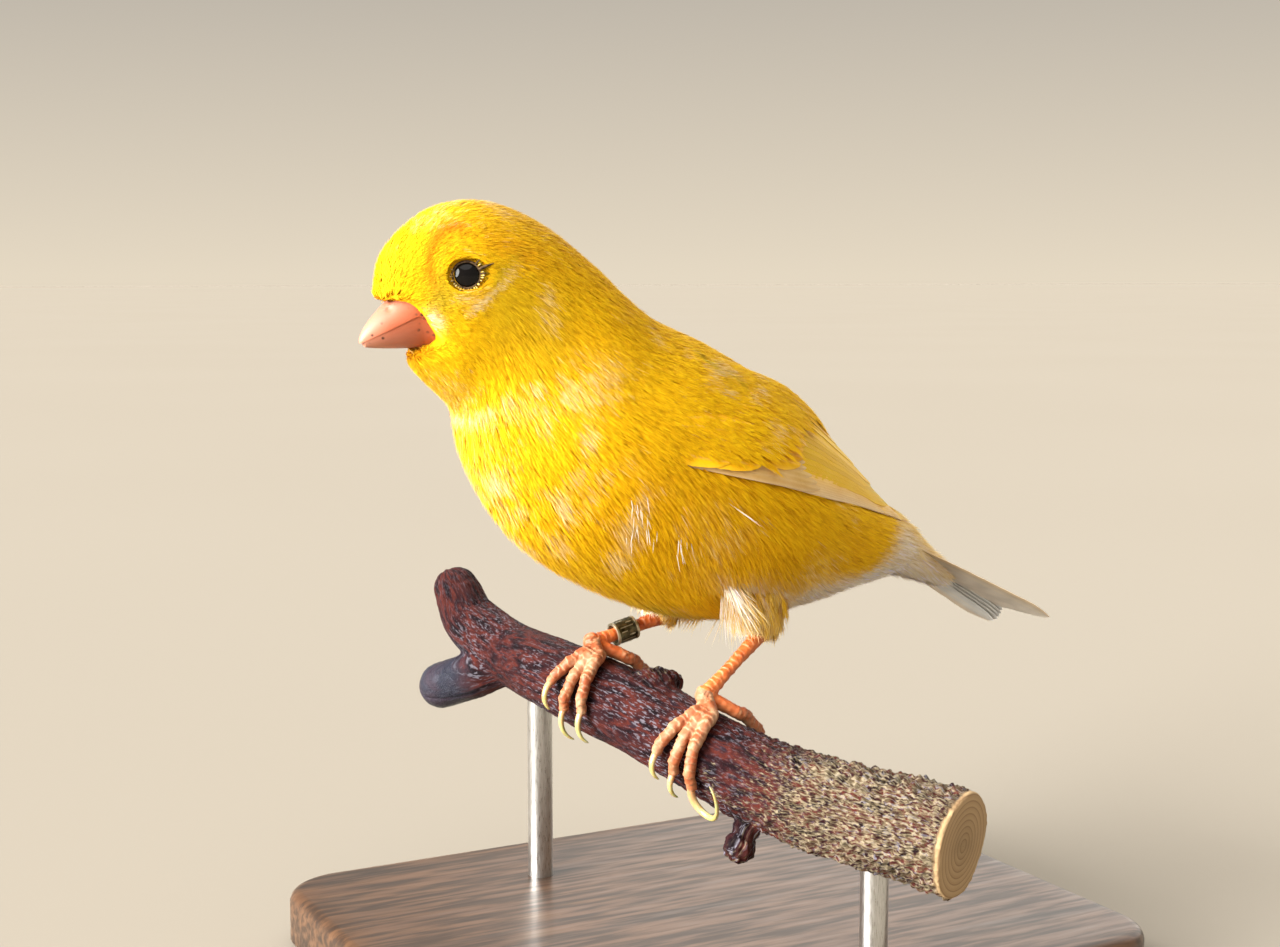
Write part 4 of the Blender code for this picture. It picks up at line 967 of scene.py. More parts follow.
bird_skin, tree, shader = new_finish("bird_skin", Roughness=0.7, Specular_IOR_Level=0.1)
pale, amber, olive, white = read_mark(tree, "marks")
skin_colour = use_group(tree, canary_yellow, Pale=pale, Amber=amber, Olive=olive, White=white, Tip=0.2)
colour_it(tree, shader, skin_colour["Colour"], None, cloud(tree, 900.0, 4.0), 0.4, 0.0002)

stations = np.linspace(0.15, BODY_END, SKIN_RINGS)
angles = np.arange(-180.0, 180.0, 5.0)
grid = np.meshgrid(stations, angles, indexing="ij")
depth = along(COAT, grid[0])[..., 0]
frames = body_frame(*grid)
skin_rings = behind_bill(frames[0] - frames[3] * depth[..., None], 0.0004)
skin_parts = [(list(skin_rings.reshape(-1, 3)), ring_faces(len(stations), len(angles)))]


def thigh_path(name):
    """The thigh's middle line from inside the flank down to the heel."""
    side, heel, knuckle, _ = LEGS[name]
    top = np.array([heel[0] + THIGH_TOP[0], side * THIGH_TOP[1], THIGH_TOP[2]])
    above = heel + unit(heel - knuckle) * 0.0016
    return BIRD + np.concatenate([top + (above - top) * THIGH_STEPS, [heel]])


for name in LEGS:
    skin_parts.append(tube(thigh_path(name), np.array(THIGH_RADII) * THIGH_TAPER, 24))
skin = fuse("skin", skin_parts, SKIN_VOXEL, bird_skin)
relax(skin, 2)
points, _ = read_points(skin)
flat_stations, flat_angles = (rows.ravel() for rows in grid)
index = nearest(skin_rings.reshape(-1, 3), points)
mark(skin, "marks", *markings(flat_stations[index], flat_angles[index], points))
corners = np.empty(len(skin.data.loops), int)
skin.data.loops.foreach_get("vertex_index", corners)
write_map(skin.data, on_map(flat_stations, flat_angles)[index][corners])
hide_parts("head", "neck", "torso", "thigh_left", "thigh_right")


# The bill is a short cone of pink horn, in an upper and a lower half that close along the angled line of
# the mouth. The feathers of the face end round its base and half hide the nostrils.
BILL_LENGTH = 0.0108
BILL_HALF_WIDTH = 0.0051
CULMEN_HEIGHT = 0.0062
GONYS_DEPTH = 0.0046
# The half width at the bill's tip, and how far the upper and lower halves reach from its axis there.
BILL_TIP_SIZES = (0.0003, 0.0002, 0.0004)
LOWER_START = 0.05
NOSTRIL_AT = (0.0052, 0.0022, 0.0036)
NOSTRIL_RADIUS = 0.00042
NOSTRIL_DENT = 0.0007
BILL_SECTIONS = 60
BILL_SIDES = 40


def mouth_line(part):
    """The height of the line of the mouth: it rises from the tip, then drops steeply to the gape."""
    drop = np.maximum(part - 0.78, 0.0) / 0.22
    return 0.0011 * np.minimum(part / 0.72, 1.0) - 0.0042 * drop**1.4


def bill_half_width(part):
    """Half the bill's width at a part of its length from the tip."""
    return BILL_TIP_SIZES[0] + (BILL_HALF_WIDTH - BILL_TIP_SIZES[0]) * part**0.72


def bill_half(upper):
    """Points, faces and marks of the upper or lower half, as a closed loft from the tip."""
    start = 0.0 if upper else LOWER_START
    points, marks = [], []
    for part in start + (1.0 - start) * np.linspace(0, 1, BILL_SECTIONS) ** 1.3:
        culmen = BILL_TIP_SIZES[1] + (CULMEN_HEIGHT - BILL_TIP_SIZES[1]) * part**0.62
        gonys = BILL_TIP_SIZES[2] + (GONYS_DEPTH - BILL_TIP_SIZES[2]) * part**0.8
        line = mouth_line(part) + (0.0 if upper else 0.00035)
        reach = max((culmen - line) if upper else (gonys + line), 0.0003)
        for k in range(BILL_SIDES + 1):
            turn = math.pi * k / BILL_SIDES
            rise = math.sin(turn) ** 0.92
            across = bill_half_width(part) * math.cos(turn) * (1.0 if upper else 0.96)
            if upper:
                across *= 1 - 0.10 * math.sin(turn) ** 2
            height = line + (reach * rise if upper else -reach * rise)
            place = BILL_TIP + BILL_BACK * BILL_LENGTH * part + BILL_ABOVE * height
            points.append(place + (0.0, across, 0.0))
            marks.append((part, rise))
    return np.array(points), ring_faces(BILL_SECTIONS, BILL_SIDES + 1), np.array(marks).T


pink_horn, tree, shader = new_finish(
    "pink_horn", Roughness=0.40, Subsurface_Weight=0.12, Subsurface_Scale=0.0010, Coat_Weight=0.08,
    Coat_Roughness=0.25, Specular_IOR_Level=0.32,
)
bill_run, bill_rise, _, _ = read_mark(tree, "bill")
horn_cloud = cloud(tree, 330.0, 5.0)
pink = shades(
    tree, bill_rise,
    (0.0, (0.50, 0.115, 0.050)), (0.35, (0.48, 0.135, 0.070)), (0.9, (0.47, 0.190, 0.125)),
)
pink = tint(tree, horn_cloud, 0.5, pink, (0.56, 0.21, 0.12))
pink = blend(tree, shades(tree, bill_run, (0.0, 0.60), (0.40, 0.0)), pink, (0.60, 0.29, 0.19))
pink = blend(tree, shades(tree, bill_run, (0.45, 0.0), (0.92, 0.70)), pink, (0.42, 0.080, 0.014))
specks = add_node(tree, "TexVoronoi", {"Vector": own_place(tree), "Scale": 1050.0}).outputs["Distance"]
specks = shades(tree, specks, (0.20, 1.0), (0.34, 0.0))
dirt = figure(tree, "MULTIPLY", specks, shades(tree, cloud(tree, 210.0, 1.0), (0.40, 0.0), (0.46, 1.0)))
pink = tint(tree, dirt, shades(tree, bill_rise, (0.40, 1.0), (0.62, 0.0)), pink, (0.09, 0.035, 0.02))
pink = tint(tree, shades(tree, bill_rise, (0.0, 1.0), (0.10, 0.0)), 0.45, pink, (0.50, 0.10, 0.03))
colour_it(tree, shader, pink, over_base(tree, 0.34, horn_cloud, 0.22), horn_cloud, 0.12, 0.0002)

for upper, name in ((True, "upper"), (False, "lower")):
    points, faces, (runs, rises) = bill_half(upper)
    for side in (-1, 1) if upper else ():
        distance, across, height = NOSTRIL_AT
        middle = BILL_TIP + BILL_BACK * distance + BILL_ABOVE * height + np.array([0.0, side * across, 0.0])
        close = near(np.linalg.norm(points - middle, axis=1), 0.0, NOSTRIL_RADIUS * 1.3)
        points = points - np.array([0.0, side * NOSTRIL_DENT, 0.0]) * close[:, None]
    half_bill = make_piece("bill_" + name + "_horn", points, faces, pink_horn, 50)
    mark(half_bill, "bill", runs, rises)
    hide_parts("bill_" + name)


# The eyes are round and near black, wet and bright, each in a thin bare ring of grey-brown skin. Tiny
# bead-like feathers stand round the ring's lower rim.
EYE = np.array([-0.0344, 0.0, 0.0275])
EYE_RADIUS = 0.0029
EYE_SHOWN = 0.00185
EYE_SUNK = math.sqrt(EYE_RADIUS**2 - EYE_SHOWN**2)
# How far from the eye's middle the plumage begins.
EYE_BARE = EYE_SHOWN + 0.00018
LID_RADIUS = EYE_SHOWN + 0.00008
LID_THICKNESS = 0.00015
LID_RINGS = 64
LID_SIDES = 10
BEADS = 20
BEAD_SIDES = 8
# The first bead's turn round the rim and the turn of all, and how far a bead stands out and forward.
BEAD_TURNS = (-196, 232)
BEAD_REACH = (0.00030, 0.00055)
BEAD_LIFT = (0.00015, 0.00035)
BEAD_SIZES = np.array([0.00008, 0.00011, 0.00013, 0.00013, 0.00010, 0.00003])
# The folds of skin behind the eye: the turn round its rim, the length and the size, and the taper of all.
FOLDS = ((50, 0.0012, 0.00014), (24, 0.0021, 0.00024), (4, 0.0009, 0.00011))
FOLD_TAPER = np.array([0.7, 1.0, 1.0, 0.9, 0.75, 0.55, 0.35, 0.1])


def eye_seat(side):
    """The eyeball's centre, sunk so that only its dome stands out, and the way the eye looks."""
    surface = on_body(np.array(EYE_STATION), np.array(-side * EYE_ANGLE))
    target = np.array([BIRD[0] + EYE[0], surface[1], BIRD[2] + EYE[2]])
    outward = unit(np.array([-0.36, side * 1.0, 0.14]))
    return target - outward * EYE_SUNK, outward


def eye_rim(side):
    """The middle of the ring round an eye, and the ways back and up from it."""
    centre, outward = eye_seat(side)
    level = unit(np.cross(outward, (0.0, 0.0, 1.0)))
    level = level * np.sign(level[0])
    up = unit(np.cross(level, outward))
    return centre + outward * EYE_SUNK, level, up * np.sign(up[2])


wet_eye, tree, shader = new_finish("wet_eye", Roughness=0.05, IOR=1.30)
eye_out = read_mark(tree, "eye")[0]
eye_colour = shades(
    tree, eye_out, (0.0, (0.004, 0.003, 0.003)), (0.62, (0.005, 0.004, 0.003)), (0.80, (0.030, 0.014, 0.007))
)
colour_it(tree, shader, eye_colour)
lid_skin, tree, shader = new_finish("lid_skin", Roughness=0.8, Specular_IOR_Level=0.15)
lid_cloud = cloud(tree, 2400.0, 3.0)
lid_colour = shades(tree, lid_cloud, (0.35, (0.035, 0.020, 0.010)), (0.65, (0.14, 0.085, 0.040)))
colour_it(tree, shader, lid_colour, None, lid_cloud, 0.5, 0.0001)
bead_feather, tree, shader = new_finish("bead_feather", Roughness=0.6)
bead_run, bead_chance, _, _ = read_mark(tree, "bead")
bead_colour = shades(
    tree, bead_run, (0.0, (0.42, 0.26, 0.03)), (0.5, (0.86, 0.66, 0.10)), (1.0, (0.93, 0.86, 0.52))
)
colour_it(tree, shader, blend(tree, bead_chance, bead_colour, (0.26, 0.13, 0.02)))

draw = np.random.default_rng(11)
for side, name in ((-1, "left"), (1, "right")):
    centre, outward = eye_seat(side)
    rim, level, up = eye_rim(side)
    eyeball = make_piece("eyeball_" + name, *ball(centre, EYE_RADIUS, rings=40, sides=56), wet_eye, 180)
    points, _ = read_points(eyeball)
    mark(eyeball, "eye", np.linalg.norm(np.cross(points - centre, outward), axis=1) / EYE_RADIUS)
    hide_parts("eye_" + name)

    turns = np.linspace(0, 2 * math.pi, LID_RINGS, endpoint=False)
    wave = 0.00004 * np.sin(turns * 9) + 0.00012 * np.abs(np.cos(turns))
    ring_line = rim + np.outer(np.cos(turns) * (LID_RADIUS + wave), level)
    ring_line = ring_line + np.outer(np.sin(turns) * LID_RADIUS, up)
    rolls = np.linspace(0, 2 * math.pi, LID_SIDES, endpoint=False)[:, None]
    radial = unit(ring_line - rim)[:, None]
    lid_points = 1.25 * radial * np.cos(rolls) + 0.8 * outward * np.sin(rolls)
    lid_points = (ring_line[:, None] + LID_THICKNESS * lid_points).reshape(-1, 3)
    lid_faces = ring_faces(LID_RINGS, LID_SIDES, looped=True)
    eyelid = make_piece("eyelid_" + name, lid_points, lid_faces, lid_skin, 60)

    points, faces, runs, chances = [], [], [], []
    for k in range(BEADS):
        turn = math.radians(BEAD_TURNS[0] + BEAD_TURNS[1] * k / (BEADS - 1) + draw.uniform(-4, 4))
        radial = level * math.cos(turn) + up * math.sin(turn)
        start = rim + radial * EYE_BARE + outward * 0.0001
        tip = start + radial * draw.uniform(*BEAD_REACH) + outward * draw.uniform(*BEAD_LIFT)
        part = np.linspace(0, 1, len(BEAD_SIZES))
        sizes = BEAD_SIZES * draw.uniform(0.7, 1.2)
        add_part(points, faces, tube(start + np.outer(part, tip - start), sizes, BEAD_SIDES))
        chance = draw.uniform(0.0, 0.6) + 0.6 * near(math.degrees(turn), -190, 60)
        runs += list(np.repeat(part, BEAD_SIDES))
        chances += [float(np.clip(chance, 0, 1))] * (BEAD_SIDES * len(BEAD_SIZES))
    beads = make_piece("eye_beads_" + name, points, faces, bead_feather, 60)
    mark(beads, "bead", runs, chances)

    points, faces = [], []
    for turn, length, size in FOLDS:
        radial = level * math.cos(math.radians(turn)) + up * math.sin(math.radians(turn))
        start = rim + radial * (EYE_SHOWN + 0.00012) + outward * 0.00008
        part = np.linspace(0, 1, len(FOLD_TAPER))[:, None]
        path = start + length * (radial * part + level * 0.15 * part**2) + outward * 0.00050 * np.sqrt(part)
        add_part(points, faces, tube(path, size * FOLD_TAPER, 8))
    folds = make_piece("eye_folds_" + name, points, faces, lid_skin, 60)


# The body feathers are soft and frosted: each is a fan of fine barbs from one root, lying back over the
# next, smallest on the face and loosest on the flanks, the thighs and under the tail.
SECTIONS = np.array([0.0, 0.58, 1.0])
BARB_WIDTHS = np.array([0.7, 1.1, 0.0])
BARBS = 8
# A barb has two points at its root, two at its middle and one at its tip, with a quad and a triangle.
BARB_LEVELS = np.array([0, 0, 1, 1, 2])
BARB_CORNERS = np.array([0, 2, 3, 1, 2, 4, 3])
BARB_FACE_STARTS = (0, 4)
PATCH = 0.003
EYE_REACH = 0.0052
EYE_CROSSING = 0.0011
WING_LIFT = 0.0019
WING_OVERLAP = 0.95
WING = np.array([
    (6.15, 104.0, 66.0), (7.00, 93.0, 40.0), (8.00, 81.0, 24.0), (9.00, 67.0, 15.0), (10.00, 51.0, 9.0),
    (11.00, 31.0, 12.0),
])


def wing_edges(station):
    """The wing's lower and upper edges at stations, as angles down from the ridge."""
    return np.interp(station, WING[:, 0], WING[:, 1]), np.interp(station, WING[:, 0], WING[:, 2])


def lie(station, angle):
    """How far the feathers' lie turns down from the body's length, in radians, towards the keel."""
    down = np.abs(angle)
    flank = rising(station, 6.2, 7.3) * rising(station, 10.3, 9.3) * near(down, 118, 30)
    cheek = rising(station, 0.8, 1.6) * rising(station, 4.2, 3.0) * near(down, 105, 25)
    crown = rising(station, 3.0, 1.6) * near(down, 40, 25)
    turn = 30 * flank + 10 * cheek - 10 * crown + 5 * np.sin(np.radians(down))
    return np.radians(turn) * np.sign(angle)


def eye_distance(points):
    """How far points lie from the line of sight of the eye on their own side."""
    nearest_eye = np.full(points.shape[:-1], 1.0)
    for side in (-1, 1):
        centre, outward = eye_seat(side)
        offset = points - centre
        away = np.linalg.norm(offset - outward * (offset * outward).sum(-1, keepdims=True), axis=-1)
        beside = (points[..., 1] - BIRD[1]) * side > 0.003
        nearest_eye = np.where(beside, np.minimum(nearest_eye, away), nearest_eye)
    return nearest_eye


def parted_round_eyes(points):
    """Points near an eye, moved out from its middle so that the plumage parts round its ring."""
    for side in (-1, 1):
        centre, outward = eye_seat(side)
        offset = points - centre
        out = (offset * outward).sum(-1, keepdims=True)
        radial = offset - outward * out
        reach = np.linalg.norm(radial, axis=-1, keepdims=True)
        moved = np.where(reach < EYE_REACH, EYE_BARE + reach * (1 - EYE_BARE / EYE_REACH), reach)
        beside = ((points[..., 1:2] - BIRD[1]) * side > 0.004) & (reach < EYE_REACH)
        points = np.where(beside, centre + outward * out + radial * moved / np.maximum(reach, 1e-9), points)
    return points


def sow_roots(station_span, angle_span, density, draw):
    """Feather roots strewn evenly over a stretch of the body, so many to a square millimetre."""
    stations = np.linspace(*station_span, int((station_span[1] - station_span[0]) * 24) + 1)
    angles = np.linspace(*angle_span, int((angle_span[1] - angle_span[0]) / 2) + 1)
    long, wide = stations[1] - stations[0], angles[1] - angles[0]
    middles = ((rows[1:] + rows[:-1]) / 2 for rows in (stations, angles))
    mid_s, mid_a = np.meshgrid(*middles, indexing="ij")
    _, back, round_it, _ = body_frame(mid_s, mid_a)
    cell = np.linalg.norm(np.cross(back, round_it), axis=-1) * 1e6 * long
    expected = cell * wide * density
    count = np.floor(expected + draw.random(expected.shape)).astype(int).ravel()
    station = np.repeat(mid_s.ravel(), count) + draw.uniform(-0.5, 0.5, count.sum()) * long
    angle = np.repeat(mid_a.ravel(), count) + draw.uniform(-0.5, 0.5, count.sum()) * wide
    return station, angle


body_feather, tree, shader = new_finish(
    "body_feather", Roughness=0.7, Specular_IOR_Level=0.08, Sheen_Weight=0.02, Sheen_Roughness=0.5
)
pale, amber, olive, white = read_mark(tree, "marks")
tip, chance, strand, _ = read_mark(tree, "strand")
feather_colour = use_group(
    tree, canary_yellow, Pale=pale, Amber=amber, Olive=olive, White=white,
    Tip=tip, Chance=chance, Strand=strand,
)
colour_it(tree, shader, feather_colour["Colour"])


def laid_barbs(ahead, normal, wobble, width, draw):
    """Each barb's way across, rolled a little about its length, with the roll and its widths."""
    across = unit(np.cross(normal, ahead))
    roll = draw.normal(0, wobble, (len(ahead), BARBS, 1, 1))
    widths = width * draw.uniform(0.8, 1.2, (len(ahead), BARBS, 1)) * BARB_WIDTHS
    return across * np.cos(roll) + normal * np.sin(roll), roll, widths


def barb_mesh(
    name, centres, across, widths, shading, patches, marks, draw, clear=slice(None), shift=(0,) * BARBS
):
    """One mesh of all the feathers' barbs: centres and ways across at each section, coming to a point."""
    count = len(centres)
    strands = (np.repeat(draw.random(count), BARBS), draw.random(count * BARBS))
    centres, across, shading = (
        rows.reshape(-1, len(SECTIONS), 3)[clear] for rows in (centres, across, shading)
    )
    half = across * widths.reshape(-1, len(SECTIONS))[clear][..., None] / 2
    points = np.stack([centres - half, centres + half], 2).reshape(len(half), -1, 3)[:, :-1]
    firsts = np.arange(len(half))[:, None]
    loops = (firsts * len(BARB_LEVELS) + BARB_CORNERS).ravel().astype(np.int32)
    starts = (firsts * len(BARB_CORNERS) + BARB_FACE_STARTS).ravel().astype(np.int32)
    mesh = bpy.data.meshes.new(name)
    mesh.vertices.add(points.size // 3)
    mesh.vertices.foreach_set("co", points.astype(np.float32).ravel())
    mesh.loops.add(len(loops))
    mesh.loops.foreach_set("vertex_index", loops)
    mesh.polygons.add(len(starts))
    mesh.polygons.foreach_set("loop_start", starts)
    mesh.update(calc_edges=True)
    mesh.validate()
    mesh.shade_smooth()
    mesh.normals_split_custom_set_from_vertices(shading[:, BARB_LEVELS].reshape(-1, 3))
    mesh.materials.append(body_feather)
    made = place_object(name, mesh)
    marks = [np.repeat(channel, BARBS)[clear] for channel in marks]
    strands = [channel[clear] for channel in strands]
    mark(made, "marks", *(channel.repeat(len(BARB_LEVELS)) for channel in marks))
    tips = np.tile(SECTIONS[BARB_LEVELS], len(half))
    mark(made, "strand", tips, *(channel.repeat(len(BARB_LEVELS)) for channel in strands))
    patches = patches.repeat(BARBS, 0)
    patches[:, 1] += np.tile(shift, count)
    on_patch = np.stack([SECTIONS[BARB_LEVELS] - 0.5, np.array([0.0, 1.0, 0.0, 1.0, 0.5]) * 0.1], 1) * PATCH
    write_map(mesh, (patches[clear][:, None] + on_patch).reshape(-1, 2)[loops])
    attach(made, "root")
    return made


def plume(name, station, angle, draw, fan, width, rise, stray, length=1.0, over=0.0):
    """Body feathers at roots on the body, each a fan of barbs that follows the body's curve."""
    count = len(station)
    point, back, round_it, _ = body_frame(station, angle)
    down = np.abs(angle)
    sizes = along(COAT, station)
    top, flank, belly = near(down, 0, 55), near(down, 95, 50), near(down, 180, 55)
    full = (sizes[:, 1] * top + sizes[:, 2] * flank + sizes[:, 3] * belly) / (top + flank + belly)
    over_wing = rising(station, 6.2, 6.8) * rising(station, 7.8, 7.3)
    over_wing = over_wing * rising(down, 30, 45) * rising(down, 105, 92)
    full = full * length * draw.uniform(0.78, 1.2, count) * (1 - 0.30 * over_wing)
    heading = lie(station, angle) + draw.normal(0, 0.10, count)
    speed_back = np.linalg.norm(back, axis=1)
    straight = back / speed_back[:, None]
    slant = (round_it * straight).sum(1)
    speed_round = np.linalg.norm(round_it - straight * slant[:, None], axis=1)
    place = np.linspace(-1, 1, BARBS)[None] + draw.uniform(-0.12, 0.12, (count, BARBS))
    barb_length = full[:, None] * (1 - 0.22 * place**2) * draw.uniform(0.86, 1.08, (count, BARBS))
    tip_rise = rise * draw.uniform(0.2, 1.0, (count, BARBS)) + stray * draw.random((count, BARBS)) ** 4

    part = SECTIONS[None, None]
    spread = fan + 0.20 * rising(station, 2.6, 1.4)
    rows = (heading, speed_back, slant, speed_round, station, angle, sizes[:, 0], spread)
    heading, speed_back, slant, speed_round, at_station, at_angle, depth, spread = (
        row[:, None, None] for row in rows
    )
    bend = heading + spread * place[..., None] * (1 - 0.45 * part)
    run = barb_length[..., None] * part
    step_round = np.sin(bend) / speed_round
    at_station = at_station + run * (np.cos(bend) - step_round * slant) / speed_back
    at_angle = at_angle + run * step_round
    at_point, _, _, at_normal = body_frame(at_station, at_angle)
    lift = -depth * (1 - part) ** 1.6 * 0.95 + tip_rise[..., None] * (0.25 + 0.75 * part**2)
    lower, upper = wing_edges(at_station)
    down = np.abs(at_angle)
    ramp = WING_OVERLAP * rising(down, upper - 16, upper) * (down < (lower + upper) / 2)
    ramp = np.maximum(over * (down < lower), ramp)
    lift = lift + ramp * rising(at_station, 6.5, 8.2) * rising(at_station, 9.3, 8.5) * WING_LIFT
    straight_centres = at_point + at_normal * lift[..., None]
    centres = parted_round_eyes(straight_centres)
    clear = eye_distance(straight_centres).min(-1).ravel() > EYE_CROSSING
    ahead = unit(np.gradient(centres, axis=2))
    across, roll, widths = laid_barbs(ahead, at_normal, 0.12 if over else 0.30, width, draw)
    rolled = 0.22 * np.sin(roll) * np.cross(ahead, at_normal)
    shading = unit(at_normal + rolled - 0.10 * ahead * (part[..., None] - 0.7))
    pale, *others = markings(station + 0.55 * full / speed_back[:, 0, 0], angle, point)
    pale = np.where(draw.random(count) < pale, 0.35 + 0.65 * pale, 0.35 * pale)
    shift = (np.arange(BARBS) / BARBS - 0.5) * PATCH
    patches = on_map(station, angle)
    return barb_mesh(name, centres, across, widths, shading, patches, (pale, *others), draw, clear, shift)


def bare_of_feathers(station, angle):
    """Where no body feathers grow: in front of the feather line, and under the folded wing."""
    distance, above = in_bill_frame(on_body(station, angle))
    lower, upper = wing_edges(station)
    down = np.abs(angle)
    front = np.interp(down, (45, 85), (7.15, 6.85))
    behind_fan = rising(station, 9.10, 9.25)
    under_wing = (station > front) & (down < lower - 3) & (down > upper + 5 + 30 * behind_fan)
    return (distance < feather_line(above) + 0.0001) | under_wing


draw = np.random.default_rng(7)
# Each stretch of plumage: its stations, its angles from the ridge on the left side or across it, feathers
# to a square millimetre, the spread of the fan, barb width, how far the tips stand up and stray barbs out.
STRETCHES = {
    "face": ((0.0, 3.2), (20, 180), 10.8, 0.18, 0.00011, 0.00013, 0.00030),
    "crown": ((0.0, 5.0), (-20, 20), 9.8, 0.18, 0.00012, 0.00015, 0.00035),
    "neck": ((3.2, 5.6), (20, 180), 6.2, 0.13, 0.00013, 0.00022, 0.00060),
    "breast": ((5.6, 7.5), (78, 180), 4.8, 0.15, 0.00015, 0.00026, 0.00075),
    "flank": ((7.5, 11.0), (44, 180), 4.0, 0.15, 0.00016, 0.00030, 0.00080),
    "mantle": ((5.0, 8.6), (0, 78), 4.2, 0.14, 0.00017, 0.00016, 0.00025),
    "rump": ((8.6, 11.0), (-44, 44), 3.6, 0.16, 0.00017, 0.00020, 0.00030),
}
SHOULDER_DENSITY = 3.4
for side, name in ((1, "left"), (-1, "right")):
    station, angle = sow_roots((6.7, 8.4), (18, 95), SHOULDER_DENSITY, draw)
    lower, upper = wing_edges(station)
    rear = np.interp(angle, (24, 50, 72, 88), (8.20, 7.95, 7.70, 7.15))
    kept = (angle < lower - 9) & (angle > upper + 2) & (station < rear + draw.normal(0, 0.08, len(station)))
    plume(
        f"feathers_shoulder_{name}", station[kept], side * angle[kept], draw,
        fan=0.12, width=0.00017, rise=0.00006, stray=0.0, length=0.90, over=0.92,
    )
for stretch, (span, (first, last), density, *form) in STRETCHES.items():
    sides = {"": (first, last)} if first < 0 else {"_left": (first, last), "_right": (-last, -first)}
    for ending, sector in sides.items():
        station, angle = sow_roots(span, sector, density, draw)
        kept = ~bare_of_feathers(station, angle)
        plume("feathers_" + stretch + ending, station[kept], angle[kept], draw, *form)


# Short yellow feathers close the edge of the plumage all round the bill's base. Each is a small fan of soft
# barbs, rooted in the skin beside the horn, and lies back over the face.
FRINGE_BAND = 0.0010
FRINGE_TUFTS = 2600
FRINGE_TRIES = 16
FRINGE_DEPTHS = (0.0001, 0.0026)
FRINGE_LENGTHS = (0.0009, 0.0015)


def free_tufts(name, roots, ways, outs, lengths, draw, patches, marks, fan, width, rise=0.0, droop=0.0):
    """Tufts that stand free of the body's curve: from roots, along ways, lifting towards outs."""
    count = len(roots)
    place = np.linspace(-1, 1, BARBS)[None] + draw.uniform(-0.15, 0.15, (count, BARBS))
    sideways = unit(np.cross(outs, ways))[:, None]
    heading = unit(ways[:, None] + sideways * (fan * place)[..., None] + outs[:, None] * rise)
    full = lengths[:, None] * (1 - 0.2 * place**2) * draw.uniform(0.75, 1.1, (count, BARBS))
    part = SECTIONS[None, None, :, None]
    run = full[..., None, None] * part
    outs = outs[:, None, None]
    centres = roots[:, None, None] + heading[:, :, None] * run
    centres = centres + np.array([0.0, 0.0, -1.0]) * droop * run * part - outs * 0.0004 * (1 - part)
    ahead = unit(np.gradient(centres, axis=2))
    normal = unit(outs - ahead * (outs * ahead).sum(-1, keepdims=True))
    across, _, widths = laid_barbs(ahead, normal, 0.4, width, draw)
    return barb_mesh(name, centres, across, widths, normal, patches, marks, draw)


def outside_bill(points, spare):
    """Whether points lie outside the horn of the bill."""
    distance, above = in_bill_frame(points)
    part = np.clip(distance / BILL_LENGTH, 0.05, 1.0)
    upright = np.where(above > 0, CULMEN_HEIGHT * part**0.62, GONYS_DEPTH * part**0.8)
    across = np.abs(points[..., 1] - BIRD[1])
    return (across / bill_half_width(part)) ** 2 + (above / upright) ** 2 > spare


station = draw.uniform(0.0, 1.8, FRINGE_TUFTS * FRINGE_TRIES)
angle = draw.uniform(-180, 180, FRINGE_TUFTS * FRINGE_TRIES)
points, _, _, outs = body_frame(station, angle)
distance, above = in_bill_frame(points)
behind = distance - feather_line(above)
deep = draw.uniform(*FRINGE_DEPTHS, len(station))
roots = points - outs * deep[:, None]
at_edge = (behind > -0.0002) & (behind < FRINGE_BAND) & outside_bill(roots, 0.94)
kept = np.flatnonzero(at_edge)[:FRINGE_TUFTS]
station, angle, points, roots, outs, deep = (
    rows[kept] for rows in (station, angle, points, roots, outs, deep)
)
ways = unit(BILL_BACK * 0.8 + outs * (0.25 + 260 * deep[:, None]) + draw.normal(0, 0.16, (len(kept), 3)))
lengths = draw.uniform(*FRINGE_LENGTHS, len(kept)) + 0.35 * deep
marks = markings(station, angle, points)
marks[1] = np.clip(marks[1] + 0.12 * draw.random(len(kept)), 0, 1)
patches = on_map(station, angle)
free_tufts("feathers_fringe", roots, ways, outs, lengths, draw, patches, marks, fan=0.5, width=0.00010)


# Spiky little yellow feathers stand off the chin, from the edge of the horn down to the throat. Each is a
# narrow fan of stiff barbs, rooted along the underside of the lower bill.
CHIN_TUFTS = 1000
CHIN_WIDTH = 0.55
CHIN_LENGTHS = (0.0010, 0.0026)
spread = draw.uniform(-1, 1, CHIN_TUFTS)
distance = 0.0064 + 0.0026 * np.abs(spread) + 0.0022 * draw.random(CHIN_TUFTS)
part = distance / BILL_LENGTH
across = bill_half_width(part) * spread * CHIN_WIDTH
height = -GONYS_DEPTH * part**0.8 * np.sqrt(1 - (CHIN_WIDTH * spread) ** 2) - 0.0001
sideways = np.array([0.0, 1.0, 0.0])
roots = BILL_TIP + np.outer(distance, BILL_BACK) + np.outer(height, BILL_ABOVE) + np.outer(across, sideways)
sideways = np.outer(spread, sideways)
ways = unit(BILL_BACK * 0.66 - BILL_ABOVE * 0.80 + sideways * 0.30 + draw.normal(0, 0.11, (CHIN_TUFTS, 3)))
outs = unit(sideways * 0.8 - BILL_ABOVE)
station = 0.2 + 1.1 * part
angle = -np.sign(across) * (180 - 60 * np.abs(spread))
marks = (np.full(CHIN_TUFTS, 0.20), 0 * part, 0 * part, 0.20 * draw.random(CHIN_TUFTS))
lengths = draw.uniform(*CHIN_LENGTHS, CHIN_TUFTS)
patches = on_map(station, angle)
free_tufts("feathers_chin", roots, ways, outs, lengths, draw, patches, marks, fan=0.30, width=0.00010)


